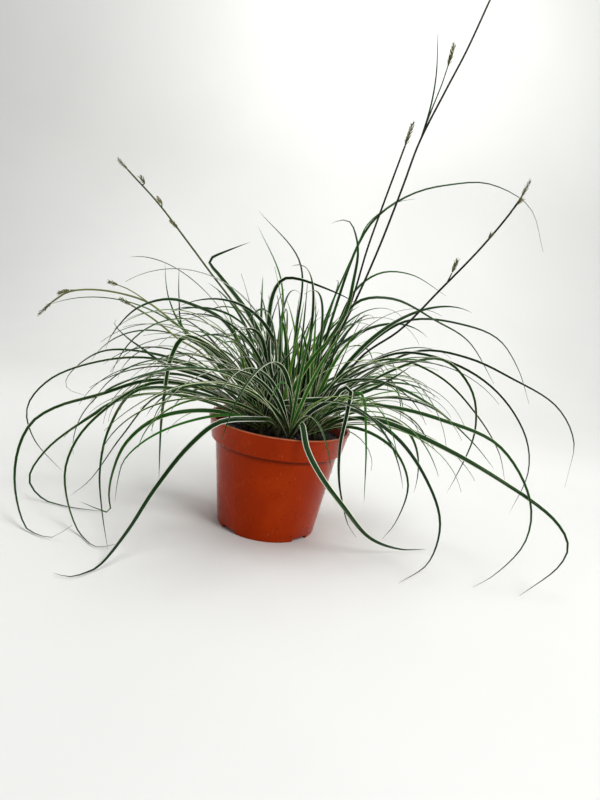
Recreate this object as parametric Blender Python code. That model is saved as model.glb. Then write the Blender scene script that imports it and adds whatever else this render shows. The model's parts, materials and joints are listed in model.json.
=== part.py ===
"""Variegated carex sedge growing in a round plastic nursery pot.

Metres, +Z up. The origin is the middle of the pot's underside, and the pot's front faces -Y.
"""
import math
import random
from collections import namedtuple
from functools import partial

import bmesh
import bpy
import numpy as np
from mathutils import Matrix, Vector
from mathutils.bvhtree import BVHTree

MM = 0.001

# Pot: a 13 cm nursery pot, moulded in one piece
POT_HEIGHT = 100.0 * MM
RIM_RADIUS = 65.0 * MM
COLLAR_HEIGHT = 20.0 * MM
COLLAR_FOOT_RADIUS = 60.6 * MM
BODY_TOP_RADIUS = 56.6 * MM
BASE_RADIUS = 45.7 * MM
POT_WALL = 1.4 * MM
LIP_HEIGHT = 1.6 * MM
LIP_SET_BACK = 0.7 * MM
COLLAR_STEP_HEIGHT = 2.6 * MM
BASE_EDGE = 0.8 * MM
STANDING_RING_WIDTH = 3.2 * MM
BASE_HOLLOW = 2.6 * MM
BASE_PAD_RADIUS = 12.0 * MM
POT_FLOOR = 4.4 * MM
POT_SIDES = 40
NOTCHES = 4
NOTCH_WIDTH = 17.0 * MM
NOTCH_HEIGHT = 3.6 * MM
FIRST_NOTCH_DEG = -44.0

# Soil: a plug of peat that fills the pot to a little below the rim
SOIL_TOP = 88.5 * MM
SOIL_GAP = 0.3 * MM
SOIL_RINGS = 4
SOIL_LUMP = 1.1 * MM
SOIL_REACH_PAST_COLLAR_FOOT = 1.4 * MM

# Crown: the shoots stand evenly over a disc of soil, each in a plain hole
CROWN_CENTRE = (3.0 * MM, 3.0 * MM)
CROWN_RADIUS = 34.0 * MM
SHOOTS = 28
SHEATH_FOOT_RADIUS = 2.4 * MM
SHEATH_TOP_RADIUS = 1.7 * MM
SHEATH_RISE = (9.0 * MM, 16.0 * MM)
SHEATH_SIDES = 5
SHEATH_FOOT_RISE = 2.0 * MM
ROOT_DEPTH = 8.0 * MM
HOLE_GAP = 0.3 * MM
ROOM_TO_MOVE = 6
GOLDEN_ANGLE = math.pi * (3.0 - math.sqrt(5.0))

# Leaves: three-sided blades with a keel, which taper to a fine tip
KEEL_DEPTH = 0.8 * MM
BLADE_ROOT_WIDTH = 0.62
FULL_WIDTH_AT = 0.22
TAPER_POWER = 2.3
SURFACE_CLEARANCE = 1.6 * MM
LEAF_GAP = 0.35 * MM
FREE_FROM = 0.16
FEWEST_STATIONS = 4
MOST_STATIONS = 10
TURN_WEIGHT = 0.5
ROUTE_SAMPLES = 72
SPAN_SAMPLES = 24
FINE_SAMPLES = 400
SEEN_BEND_STEP = 0.75
RULE_BEND_STEP = 1.5

# Flower stems and spikes
CULM_RADIUS = 1.05 * MM
CULM_TIP_RADIUS = 0.78 * MM
CULM_SIDES = 5
CULM_STATIONS = 10
CULM_STRAIGHT = 4.0 * MM
CULM_GAP = 0.4 * MM
CULM_NECK = 16.0 * MM
STALK_STAND_OFF = 3.2 * MM
STALK_RADIUS = 0.6 * MM
STALK_TIP_RADIUS = 0.45 * MM
BRACT_WIDTH = 1.6 * MM
SPIKE_GAP = 0.3 * MM
SPIKE_RADIUS = 1.45 * MM
SPIKE_FOOT = 0.45
SPIKE_SIDES = 5
SPIKE_STAGES = (0.0, 0.2, 0.6, 0.92)
SPIKE_GIRTHS = (0.45, 0.9, 0.9, 0.35)
SCALES_PER_MM = 0.36
SCALES_FROM = 0.05
SCALES_OVER = 0.71
SCALE_SEAT = 0.45
SCALE_LENGTH = 3.4 * MM
SCALE_RADIUS = 0.95 * MM
SCALE_FLARE_DEG = 22.0

# The eye that saw the leaves below: in front of the pot, a little above it, looking down, head tilted
EYE = Vector((0.0, -540.0, 224.0)) * MM
LOOK_DOWN_DEG = 10.7
LOOK_TURN_DEG = 1.6
HEAD_TILT_DEG = 8.8
PICTURE_MIDDLE = (300.0, 400.0)
PICTURE_FOCUS = 600.0

SEED = 11

# Each leaf that can be told apart: where its root stands in the crown (mm), its width (mm), its depths
# along its length (mm, + away from the eye), and the points where it is seen (across, down in the picture)
SeenLeaf = namedtuple("SeenLeaf", "root width depths seen")
LEFT_LEAVES = (
    SeenLeaf((-22, -8), 4.0, (-20, -90), ((153, 380), (98, 395), (56, 407), (32, 422), (18, 450), (15, 488),
                                          (28, 530), (50, 538), (72, 525))),
    SeenLeaf((-26, -4), 3.2, (-10, -31), ((149, 384), (98, 412), (46, 450), (29, 480), (46, 501), (70, 507),
                                          (109, 512))),
    SeenLeaf((-18, -14), 3.4, (-30, -88), ((153, 383), (87, 426), (66, 465), (67, 499), (80, 534), (97, 547),
                                           (115, 544))),
    SeenLeaf((-12, -20), 3.4, (-45, -105), ((136, 391), (109, 429), (100, 471), (102, 510), (108, 550))),
    SeenLeaf((-20, -20), 4.0, (-55, -60), ((160, 417), (126, 443), (112, 475), (109, 496), (110, 512),
                                           (98, 509), (79, 501))),
    SeenLeaf((-6, -26), 2.4, (-65, -75), ((160, 432), (125, 459), (118, 480), (115, 502))),
    SeenLeaf((-28, 0), 2.2, (0, -20), ((160, 395), (122, 436), (90, 480), (70, 496))),
    SeenLeaf((0, -30), 4.8, (-50, -85, -150), ((260, 419), (220, 422), (190, 445), (154, 490), (126, 533),
                                               (95, 569), (70, 577), (53, 573))),
    SeenLeaf((-12, 4), 6.4, (-10, -60), ((228, 364), (205, 344), (184, 337), (171, 358), (165, 390),
                                         (161, 426), (159, 479))),
    SeenLeaf((-18, 8), 4.6, (5, 0), ((224, 321), (196, 306), (169, 299), (136, 309), (110, 338), (106, 349))),
    SeenLeaf((-28, 6), 3.8, (10, 15), ((166, 365), (143, 349), (124, 335), (114, 323), (117, 318))),
    SeenLeaf((-20, 12), 2.6, (25, 35), ((183, 328), (169, 299), (166, 283), (165, 263))),
    SeenLeaf((-14, 14), 2.6, (28, 40), ((184, 331), (179, 297), (179, 265))),
    SeenLeaf((-4, 6), 6.8, (5, 10), ((275, 375), (250, 316), (220, 276), (209, 262), (211, 258), (224, 252),
                                     (250, 242))),
    SeenLeaf((-30, 10), 3.0, (30, 45), ((150, 353), (100, 352), (67, 378), (67, 388), (84, 395))),
    SeenLeaf((-28, 14), 3.0, (20, 25), ((150, 358), (96, 362), (49, 380), (27, 408), (34, 439), (64, 473))),
)
RIGHT_LEAVES = (
    SeenLeaf((30, 6), 3.2, (15, 20), ((419, 351), (468, 358), (511, 378), (557, 407), (574, 443),
                                      (565, 487))),
    SeenLeaf((26, 12), 3.0, (25, 35), ((407, 321), (468, 326), (499, 340), (518, 369), (529, 404))),
    SeenLeaf((28, 2), 3.4, (5, 0), ((399, 353), (457, 365), (500, 395), (526, 438), (528, 473), (509, 514))),
    SeenLeaf((32, -4), 3.6, (-8, -12), ((440, 359), (471, 389), (475, 431), (454, 480), (446, 494))),
    SeenLeaf((30, 0), 3.0, (0, -6), ((390, 359), (440, 377), (476, 414), (499, 453), (505, 483))),
    SeenLeaf((20, -12), 3.2, (-20, -30), ((330, 384), (382, 383), (426, 402), (473, 443), (494, 469))),
    SeenLeaf((16, -22), 4.0, (-35, -77), ((330, 405), (390, 407), (442, 420), (499, 446), (530, 501),
                                          (525, 542), (494, 575), (473, 587))),
    SeenLeaf((32, -14), 5.2, (-35, -60, -81), ((376, 420), (426, 439), (495, 477), (556, 522), (568, 547),
                                               (559, 566), (519, 596))),
    SeenLeaf((26, -22), 3.8, (-50, -89), ((349, 409), (395, 436), (426, 479), (440, 523), (428, 563),
                                          (399, 583))),
    SeenLeaf((34, -10), 3.0, (-30, -40), ((366, 431), (395, 451), (408, 485), (395, 523), (382, 539))),
    SeenLeaf((20, -28), 4.8, (-48, -62, -78), ((334, 398), (343, 388), (350, 389), (348, 408), (340, 446),
                                               (339, 480), (343, 506), (348, 525), (356, 537))),
    SeenLeaf((28, -18), 2.6, (-60, -70), ((361, 393), (366, 438), (364, 504))),
    SeenLeaf((8, -32), 5.2, (-60, -78, -74, -45, -12), ((302, 424), (307, 449), (322, 478), (342, 505),
                                                       (370, 538), (400, 549), (426, 549))),
    SeenLeaf((-6, -14), 5.4, (-32, -50), ((278, 405), (302, 401), (347, 397), (379, 386), (401, 373),
                                          (413, 365))),
    SeenLeaf((-2, -4), 5.8, (-4, -14), ((270, 370), (272, 298), (282, 280), (293, 278), (341, 295),
                                        (357, 304))),
    SeenLeaf((6, 2), 2.6, (8, 10), ((300, 263), (259, 211))),
    SeenLeaf((-4, 12), 2.4, (14, 20), ((281, 280), (258, 226))),
    SeenLeaf((14, 4), 4.6, (8, 10), ((346, 312), (353, 283), (358, 253), (356, 236), (350, 222), (342, 220),
                                     (330, 224))),
    SeenLeaf((20, 14), 2.6, (20, 60), ((361, 239), (380, 214), (415, 193), (449, 185), (489, 184),
                                       (530, 208), (543, 252))),
    SeenLeaf((14, 10), 2.2, (14, 24), ((358, 245), (368, 224), (396, 203), (415, 199))),
    SeenLeaf((20, 18), 3.0, (28, 40), ((355, 291), (381, 273), (412, 275), (446, 296))),
    SeenLeaf((26, 6), 3.4, (12, 20), ((356, 303), (393, 299), (436, 321), (468, 341), (494, 384))),
)

# The other leaves of a shoot, drawn by rule: how many, their rise from the level and the angle that they
# bend through (degrees), their length and width, and how far below the sheath's top they are rooted (mm)
Rank = namedtuple("Rank", "count rise bend length width drop")
RANKS = (
    Rank(2, (66, 86), (10, 60), (70, 145), (2.4, 4.8), (0.6, 1.6)),
    Rank(3, (46, 70), (80, 140), (130, 230), (2.4, 4.4), (1.8, 5.0)),
    Rank(2, (18, 46), (60, 130), (120, 250), (2.6, 4.8), (5.0, 8.0)),
)
RULE_TRIES = 90
SHORTEN_AFTER = 15
SHORTER = 0.88
LEAF_REACH = 215.0 * MM
BEND_LATE = 1.6
MOST_SWERVE = 0.5
MOST_ROLL = 0.78
MOST_TWIST = 0.9

# The shoots in the heart of the crown stand steeper and lean any way; those at its edge lean outward
HEART_RISE_DEG = 14.0
STEEPEST_DEG = 88.0
HEART_SPREAD_DEG = 180.0
EDGE_SPREAD_DEG = 75.0

# No leaf drawn by rule hangs in this space in front of the pot
KEPT_CLEAR_HALF_WIDTH = 75.0 * MM
KEPT_CLEAR_FRONT = -51.0 * MM
KEPT_CLEAR_HEIGHT = 108.0 * MM

# A seen leaf's hidden stretch arches up from its root; a try that is not clear strays further each time
SEEN_DROP = (2.5, 8.0)
SEEN_ROLL_DEG = 58.0
SEEN_TRIES = 180
STRAY_STEP = 0.25 * MM
HIDDEN_MIDDLE = 0.45
HIDDEN_ARCH = 0.12
HIDDEN_LENGTH = 25.0 * MM

# Flower stems: root (mm), depths (mm), the stem's points, then the stalks that leave it. Each spike is the
# point where it starts and the point where it ends.
SeenCulm = namedtuple("SeenCulm", "root depths seen spike stalks bract")
CULMS = (
    SeenCulm((-10, 14), (20, 40), ((258, 340), (235, 305), (210, 272), (190, 245), (158, 203), (128, 170)),
             ((128, 170), (117, 158)),
             ((((144, 185), (144, 184)), (139, 175)), (((163, 209), (162, 205)), (156, 197)),
              (((184, 237), (178, 229)), (170, 220))), None),
    SeenCulm((-24, 12), (20, 30), ((200, 345), (165, 315), (145, 301), (100, 290), (68, 292), (52, 302)),
             ((52, 302), (37, 316)),
             ((((152, 306), (130, 290), (118, 285)), (107, 281)), (((78, 291), (70, 290)), (57, 294))), None),
    SeenCulm((-26, 8), (20, 10), ((200, 352), (180, 340), (152, 318), (131, 305)),
             ((131, 305), (119, 298)), (), None),
    SeenCulm((18, 12), (14, 24), ((352, 308), (378, 250), (403, 186), (419, 143), (447, 88), (466, 52),
                                  (490, 0), (499, -19)),
             ((499, -19), (508, -42)),
             ((((419, 143), (432, 109), (442, 84), (448, 66)), (455, 41)),),
             ((419, 143), (430, 109), (436, 76), (438, 29))),
    SeenCulm((12, 16), (18, 12), ((340, 330), (352, 300), (367, 250), (379, 216), (405, 146)),
             ((405, 146), (414, 120)), (), None),
    SeenCulm((28, -4), (-6, -16), ((360, 358), (400, 330), (440, 290), (480, 249), (508, 216), (521, 198)),
             ((521, 198), (531, 179)),
             ((((510, 214), (517, 205)), (523, 198)), (((486, 244), (488, 240)), (492, 233)),
              (((448, 283), (452, 273)), (458, 258))), None),
)

# Colours as seen, in linear light
POT_COLOUR = (0.33, 0.05, 0.009)
SOIL_COLOUR = (0.012, 0.009, 0.007)
LEAF_COLOUR = (0.055, 0.13, 0.025)
CULM_COLOUR = (0.035, 0.06, 0.012)
SPIKE_COLOUR = (0.16, 0.11, 0.04)


def clear_scene():
    for thing in list(bpy.data.objects):
        bpy.data.objects.remove(thing)


def finish_material(name, colour, roughness, metallic=0.0):
    """A Principled finish of one colour."""
    material = bpy.data.materials.new(name)
    material.use_nodes = True
    shader = material.node_tree.nodes["Principled BSDF"]
    shader.inputs["Base Color"].default_value = (*colour, 1.0)
    shader.inputs["Roughness"].default_value = roughness
    shader.inputs["Metallic"].default_value = metallic
    material.diffuse_color = (*colour, 1.0)
    return material


def add_object(name, bm, material=None):
    """Turn a bmesh into a scene object, with its faces facing out."""
    bmesh.ops.recalc_face_normals(bm, faces=bm.faces)
    mesh = bpy.data.meshes.new(name)
    bm.to_mesh(mesh)
    bm.free()
    thing = bpy.data.objects.new(name, mesh)
    bpy.context.scene.collection.objects.link(thing)
    if material:
        mesh.materials.append(material)
    return thing


def turned(profile, sides):
    """Turn a profile of (radius, height) points about Z; its ends on the axis close up."""
    bm = bmesh.new()
    points = [bm.verts.new((radius, 0.0, height)) for radius, height in profile]
    edges = [bm.edges.new(pair) for pair in zip(points, points[1:])]
    bmesh.ops.spin(bm, geom=points + edges, cent=(0, 0, 0), axis=(0, 0, 1), angle=math.tau, steps=sides,
                   use_merge=True)
    bmesh.ops.remove_doubles(bm, verts=bm.verts, dist=0.01 * MM)
    return bm


def connected(start):
    """All the vertices that hang together with one."""
    reached = {start}
    front = [start]
    while front:
        vertex = front.pop()
        for edge in vertex.link_edges:
            other = edge.other_vert(vertex)
            if other not in reached:
                reached.add(other)
                front.append(other)
    return reached


def keep_main_body(mesh):
    """Fill sealed hollows and drop loose scraps: only the largest body stays. True if it is closed."""
    bm = bmesh.new()
    bm.from_mesh(mesh)
    left = set(bm.verts)
    bodies = []
    while left:
        body = connected(next(iter(left)))
        bodies.append(body)
        left -= body
    main = max(bodies, key=len, default=set())
    bmesh.ops.delete(bm, geom=[vertex for vertex in bm.verts if vertex not in main], context="VERTS")
    closed = bool(bm.faces) and all(len(edge.link_faces) == 2 for edge in bm.edges)
    bm.to_mesh(mesh)
    bm.free()
    return closed


def evaluated_mesh(thing):
    """The mesh of an object with its modifiers applied."""
    layer = bpy.context.evaluated_depsgraph_get()
    layer.update()
    return bpy.data.meshes.new_from_object(thing.evaluated_get(layer))


def boolean(body, tools, operation):
    """Join the tools to a body, or cut them from it, and remove them."""
    group = bpy.data.collections.new(body.name + "_tools")
    bpy.context.scene.collection.children.link(group)
    for tool in tools:
        bpy.context.scene.collection.objects.unlink(tool)
        group.objects.link(tool)
    step = body.modifiers.new("join", "BOOLEAN")
    step.operation = operation
    step.operand_type = "COLLECTION"
    step.collection = group
    for solver in ("EXACT", "MANIFOLD"):
        step.solver = solver
        result = evaluated_mesh(body)
        if keep_main_body(result):
            break
    body.modifiers.remove(step)
    body.data = result
    result.name = body.name
    for tool in tools:
        bpy.data.objects.remove(tool)
    bpy.data.collections.remove(group)
    return body


def pot_profile():
    """From the middle of the underside, out and up the outside, over the lip and down the inside."""
    collar_foot = POT_HEIGHT - COLLAR_HEIGHT
    step = collar_foot - COLLAR_STEP_HEIGHT
    lip = POT_HEIGHT - LIP_HEIGHT
    ring_inner = BASE_RADIUS - STANDING_RING_WIDTH
    return (
        (0.0, 0.0),
        (BASE_PAD_RADIUS, 0.0),
        (BASE_PAD_RADIUS, BASE_HOLLOW),
        (ring_inner, BASE_HOLLOW),
        (ring_inner, 0.0),
        (BASE_RADIUS - BASE_EDGE, 0.0),
        (BASE_RADIUS, BASE_EDGE),
        (BODY_TOP_RADIUS, step),
        (COLLAR_FOOT_RADIUS, collar_foot),
        (RIM_RADIUS - LIP_SET_BACK, lip),
        (RIM_RADIUS, lip),
        (RIM_RADIUS, POT_HEIGHT),
        (RIM_RADIUS - LIP_SET_BACK - POT_WALL, POT_HEIGHT),
        (COLLAR_FOOT_RADIUS - POT_WALL, collar_foot),
        (BODY_TOP_RADIUS - POT_WALL, step),
        (BASE_RADIUS - POT_WALL, POT_FLOOR),
        (0.0, POT_FLOOR),
    )


def make_pot():
    pot = add_object("pot", turned(pot_profile(), POT_SIDES))
    cutters = []
    for i in range(NOTCHES):
        bm = bmesh.new()
        bmesh.ops.create_cube(bm, size=1.0)
        bmesh.ops.scale(bm, vec=(STANDING_RING_WIDTH * 3, NOTCH_WIDTH, NOTCH_HEIGHT * 2), verts=bm.verts)
        bmesh.ops.translate(bm, vec=(BASE_RADIUS, 0.0, 0.0), verts=bm.verts)
        turn = math.radians(FIRST_NOTCH_DEG) + math.tau * i / NOTCHES
        bmesh.ops.rotate(bm, matrix=Matrix.Rotation(turn, 3, "Z"), verts=bm.verts)
        cutters.append(add_object(f"notch_cutter_{i}", bm))
    boolean(pot, cutters, "DIFFERENCE")
    pot.data.materials.append(finish_material("pot_plastic", POT_COLOUR, 0.38))
    pot.data.shade_smooth()
    pot.data.set_sharp_from_angle(angle=math.radians(30))
    return pot


def soil_height(x, y):
    """Lumpy surface of the peat, from a few crossed waves."""
    wave = math.sin(x * 410 + 1.0) * math.cos(y * 370 - 0.6)
    ripple = math.sin(x * 930 + y * 640) * math.cos(y * 880 - x * 310)
    return SOIL_TOP + SOIL_LUMP * (0.6 * wave + 0.4 * ripple)


def soil_profile():
    """Outline of the plug, clear of the pot's wall, with rings across its top."""
    clear = POT_WALL + SOIL_GAP
    step = POT_HEIGHT - COLLAR_HEIGHT - COLLAR_STEP_HEIGHT
    edge = COLLAR_FOOT_RADIUS - clear + SOIL_REACH_PAST_COLLAR_FOOT
    top = [(edge * i / SOIL_RINGS, SOIL_TOP) for i in range(SOIL_RINGS + 1)]
    return [
        (0.0, POT_FLOOR + SOIL_GAP),
        (BASE_RADIUS - clear, POT_FLOOR + SOIL_GAP),
        (BODY_TOP_RADIUS - clear, step + SOIL_GAP),
        (COLLAR_FOOT_RADIUS - clear, POT_HEIGHT - COLLAR_HEIGHT + SOIL_GAP),
        *reversed(top),
    ]


def make_soil(places):
    bm = turned(soil_profile(), POT_SIDES)
    for vertex in bm.verts:
        if abs(vertex.co.z - SOIL_TOP) < 0.1 * MM:
            vertex.co.z = soil_height(vertex.co.x, vertex.co.y)
    soil = add_object("soil", bm)
    holes = [hole_cutter(i, place, radius) for i, (place, radius) in enumerate(places)]
    boolean(soil, holes, "DIFFERENCE")
    soil.data.materials.append(finish_material("peat", SOIL_COLOUR, 0.95))
    return soil


def hole_cutter(number, place, radius):
    """A plain hole that a sheath or a stem stands in, its flat sides just clear of it."""
    bm = bmesh.new()
    corner = (radius + HOLE_GAP) / math.cos(math.pi / SHEATH_SIDES)
    bmesh.ops.create_cone(bm, cap_ends=True, segments=SHEATH_SIDES, radius1=corner, radius2=corner,
                          depth=4 * ROOT_DEPTH)
    middle = SOIL_TOP - ROOT_DEPTH - HOLE_GAP + 2 * ROOT_DEPTH
    bmesh.ops.translate(bm, vec=(place[0], place[1], middle), verts=bm.verts)
    return add_object(f"hole_cutter_{number}", bm)


def shoot_places():
    """The shoots stand on a sunflower spiral, which spaces them evenly over the crown."""
    places = []
    for i in range(SHOOTS):
        reach = CROWN_RADIUS * math.sqrt((i + 0.5) / SHOOTS)
        turn = i * GOLDEN_ANGLE
        places.append((CROWN_CENTRE[0] + reach * math.cos(turn), CROWN_CENTRE[1] + reach * math.sin(turn)))
    return places


def roomiest_place(near, taken):
    """The place close to a point that is farthest from everything that stands in the soil already."""
    best = None
    for i in range(-ROOM_TO_MOVE, ROOM_TO_MOVE + 1):
        for j in range(-ROOM_TO_MOVE, ROOM_TO_MOVE + 1):
            place = (near[0] + i * MM, near[1] + j * MM)
            room = min(math.dist(place, other) for other in taken)
            if best is None or room > best[0]:
                best = (room, place)
    return best[1]


def sight_line(across, down):
    """Direction from the eye through a point of the picture."""
    ray = Vector(((across - PICTURE_MIDDLE[0]) / PICTURE_FOCUS, 1.0,
                  (PICTURE_MIDDLE[1] - down) / PICTURE_FOCUS))
    tilt = Matrix.Rotation(math.radians(HEAD_TILT_DEG), 3, "Y")
    nod = Matrix.Rotation(math.radians(-LOOK_DOWN_DEG), 3, "X")
    turn = Matrix.Rotation(math.radians(-LOOK_TURN_DEG), 3, "Z")
    return turn @ nod @ tilt.inverted() @ ray


def seen_point(across, down, depth):
    """The point on a sight line at a depth, or where the line meets the surface the pot stands on."""
    ray = sight_line(across, down)
    reach = (depth - EYE.y) / ray.y
    if EYE.z + ray.z * reach < SURFACE_CLEARANCE:
        reach = (SURFACE_CLEARANCE - EYE.z) / ray.z
    return EYE + ray * reach


def seen_route(seen, depths):
    """Place a row of seen points at depths that change evenly along it."""
    steps = [0.0]
    for here, there in zip(seen, seen[1:]):
        steps.append(steps[-1] + math.dist(here, there))
    along = np.array(steps) / steps[-1]
    depth = np.interp(along, np.linspace(0.0, 1.0, len(depths)), depths)
    return [seen_point(*point, float(y)) for point, y in zip(seen, depth)]


def smooth_route(points, count=ROUTE_SAMPLES):
    """A smooth curve through the points, as evenly spaced samples."""
    nodes = np.array([tuple(p) for p in points])
    chord = np.sqrt(np.linalg.norm(np.diff(nodes, axis=0), axis=1))
    knots = np.concatenate([[0.0], np.cumsum(np.maximum(chord, 1e-6))])
    slopes = np.gradient(nodes, knots, axis=0)
    samples = []
    for i in range(len(nodes) - 1):
        span = knots[i + 1] - knots[i]
        t = np.linspace(0.0, 1.0, SPAN_SAMPLES, endpoint=(i == len(nodes) - 2))[:, None]
        samples.append((2 * t**3 - 3 * t**2 + 1) * nodes[i] + (t**3 - 2 * t**2 + t) * span * slopes[i]
                       + (3 * t**2 - 2 * t**3) * nodes[i + 1] + (t**3 - t**2) * span * slopes[i + 1])
    return evenly(np.concatenate(samples), count)


def evenly(route, count):
    """Resample a route at even steps along its length."""
    length = np.concatenate([[0.0], np.cumsum(np.linalg.norm(np.diff(route, axis=0), axis=1))])
    at = np.linspace(0.0, length[-1], count)
    return np.stack([np.interp(at, length, route[:, k]) for k in range(3)], axis=1)


def stations(route, bend_step):
    """Places along a route from 0 to 1, one more for each step that it bends, and closer together there."""
    heading = np.diff(route, axis=0)
    heading /= np.linalg.norm(heading, axis=1)[:, None]
    turning = np.arccos(np.clip((heading[1:] * heading[:-1]).sum(axis=1), -1.0, 1.0))
    effort = np.full(len(route) - 1, 1.0 / (len(route) - 1))
    effort[1:] += TURN_WEIGHT * turning
    total = np.concatenate([[0.0], np.cumsum(effort)])
    count = int(min(MOST_STATIONS, FEWEST_STATIONS + turning.sum() / bend_step))
    return np.interp(np.linspace(0.0, total[-1], count), total, np.linspace(0.0, 1.0, len(route)))


def blade_width(along, width):
    """A blade widens a little from its root, stays wide, and runs out to a fine tip."""
    root = BLADE_ROOT_WIDTH + (1.0 - BLADE_ROOT_WIDTH) * np.minimum(1.0, along / FULL_WIDTH_AT)
    return width * root * (1.0 - along ** TAPER_POWER)


def frames(route, roll=0.0, twist=0.0):
    """Heading, side and up of a blade at each sample of its route, with the side carried along."""
    heading = np.gradient(route, axis=0)
    heading /= np.linalg.norm(heading, axis=1)[:, None]
    reach = route[-1] - route[0]
    side = np.array([-reach[1], reach[0], 0.0])
    side /= max(np.linalg.norm(side), 1e-9)
    sides = []
    for direction in heading:
        side = side - direction * (side @ direction)
        side /= np.linalg.norm(side)
        sides.append(side)
    sides = np.array(sides)
    ups = np.cross(heading, -sides)
    turn = (roll + np.linspace(0.0, twist, len(route)))[:, None]
    return heading, sides * np.cos(turn) + ups * np.sin(turn), ups * np.cos(turn) - sides * np.sin(turn)


def blade_rings(leaf, extra=0.0, start=0.0):
    """Rings of three points: the blade's two edges and its keel. Extra makes them larger all round."""
    at = stations(leaf.route, leaf.bend_step)
    at = at[at >= start][:-1]
    pick = np.interp(at, np.linspace(0, 1, len(leaf.route)), np.arange(len(leaf.route)))
    _, sides, ups = frames(leaf.route, leaf.roll, leaf.twist)
    rows = np.arange(len(leaf.route))

    def read(table):
        return np.stack([np.interp(pick, rows, table[:, k]) for k in range(3)], axis=1)

    middle, side, up = read(leaf.route), read(sides), read(ups)
    half = (blade_width(at, leaf.width) * 0.5 + extra)[:, None]
    top = middle + up * extra
    keel = middle - up * (KEEL_DEPTH + extra)
    return np.stack([top - side * half, top + side * half, keel], axis=1), leaf.route[-1]


def tube_rings(route, radii, sides, extra=0.0):
    """Rings round a route, for a stem or a spike's core."""
    _, across, up = frames(route)
    angle = np.linspace(0.0, math.tau, sides, endpoint=False)
    wheel = np.cos(angle)[None, :, None] * across[:, None] + np.sin(angle)[None, :, None] * up[:, None]
    return route[:, None] + wheel * (np.asarray(radii) + extra)[:, None, None]


def skinned(rings, tip=None):
    """A closed body through the rings: its foot is flat, and it ends flat or in a point."""
    bm = bmesh.new()
    rows = [[bm.verts.new(point) for point in ring] for ring in rings]
    sides = len(rows[0])
    bm.faces.new(rows[0])
    for low, high in zip(rows, rows[1:]):
        for i in range(sides):
            j = (i + 1) % sides
            quad_corners(bm, low[i], low[j], high[j], high[i])
    if tip is None:
        bm.faces.new(rows[-1])
    else:
        point = bm.verts.new(tip)
        for i in range(sides):
            bm.faces.new((rows[-1][i], rows[-1][(i + 1) % sides], point))
    return bm


def quad_corners(bm, a, b, c, d):
    """A four-sided patch as two triangles, split the same way each time."""
    bm.faces.new((a, b, c))
    bm.faces.new((a, c, d))


def guard(rings, tip=None):
    """A search tree of a body's skin, used to see what it would cross."""
    bm = skinned(rings, tip)
    tree = BVHTree.FromBMesh(bm)
    bm.free()
    flat = np.asarray(rings).reshape(-1, 3)
    if tip is not None:
        flat = np.vstack([flat, tip])
    return tree, flat.min(axis=0), flat.max(axis=0)


class Thicket:
    """All that has grown so far, so that each new piece can be bent clear of it."""

    def __init__(self):
        self.owners = []
        self.trees = []
        self.lows = np.empty((0, 3))
        self.highs = np.empty((0, 3))

    def add(self, owner, shape):
        tree, low, high = shape
        self.owners.append(owner)
        self.trees.append(tree)
        self.lows = np.vstack([self.lows, low])
        self.highs = np.vstack([self.highs, high])

    def crosses(self, shape, others_than=None, only=None):
        tree, low, high = shape
        near = np.all((self.lows <= high) & (self.highs >= low), axis=1)
        for i in np.flatnonzero(near):
            owner = self.owners[i]
            if owner == others_than or (only is not None and owner != only):
                continue
            if self.trees[i].overlap(tree):
                return True
        return False


Leaf = namedtuple("Leaf", "shoot route width roll twist bend_step")


def leaf_fits(leaf, thicket, own_leaves, ground):
    """True if a leaf crosses nothing but its own shoot's roots, and stays off the pot and the floor."""
    if leaf.route[:, 2].min() < SURFACE_CLEARANCE - 0.1 * MM:
        return False
    whole = guard(*blade_rings(leaf, LEAF_GAP))
    if ground.crosses(whole) or thicket.crosses(whole, others_than=leaf.shoot):
        return False
    free = guard(*blade_rings(leaf, LEAF_GAP, FREE_FROM))
    return not own_leaves.crosses(free, only=leaf.shoot)


def keep_leaf(leaf, thicket, own_leaves):
    thicket.add(leaf.shoot, guard(*blade_rings(leaf)))
    own_leaves.add(leaf.shoot, guard(*blade_rings(leaf, 0.0, FREE_FROM)))


def root_point(sheath, drop):
    """A point inside a sheath, a little below its top."""
    place, top = sheath
    return Vector((place[0], place[1], top - drop))


def nearest_shoot(entry, sheaths):
    near = (entry.root[0] * MM, entry.root[1] * MM)
    return min(range(len(sheaths)), key=lambda i: math.dist(sheaths[i][0], near))


def roll_to_eye(route):
    """The way to roll a leaf so that it turns its face to the eye rather than its edge."""
    sight = route - np.array(EYE)
    rolls = (-math.radians(SEEN_ROLL_DEG), math.radians(SEEN_ROLL_DEG))
    return max(rolls, key=lambda roll: abs((frames(route, roll)[2] * sight).sum(axis=1)).mean())


def seen_leaf(number, entry, sheaths, attempt):
    """A leaf through the points where it is seen; each later attempt strays further in depth."""
    draw = random.Random(f"seen {SEED} {number} {attempt}")
    shoot = nearest_shoot(entry, sheaths)
    stray = attempt * STRAY_STEP
    shift = draw.uniform(-1.0, 1.0) * stray
    seen = seen_route(entry.seen, [depth * MM + shift for depth in entry.depths])
    root = root_point(sheaths[shoot], draw.uniform(*SEEN_DROP) * MM)
    gap = seen[0] - root
    middle = root + gap * HIDDEN_MIDDLE + Vector((0.0, 0.0, HIDDEN_ARCH * gap.length))
    middle += Vector([draw.uniform(-1.0, 1.0) * stray for _ in range(3)])
    points = [root, middle, *seen] if gap.length > HIDDEN_LENGTH else [root, *seen]
    route = smooth_route(points)
    route[:, 2] = np.maximum(route[:, 2], SURFACE_CLEARANCE)
    return Leaf(shoot, route, entry.width * MM, roll_to_eye(route), 0.0, SEEN_BEND_STEP)


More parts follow.
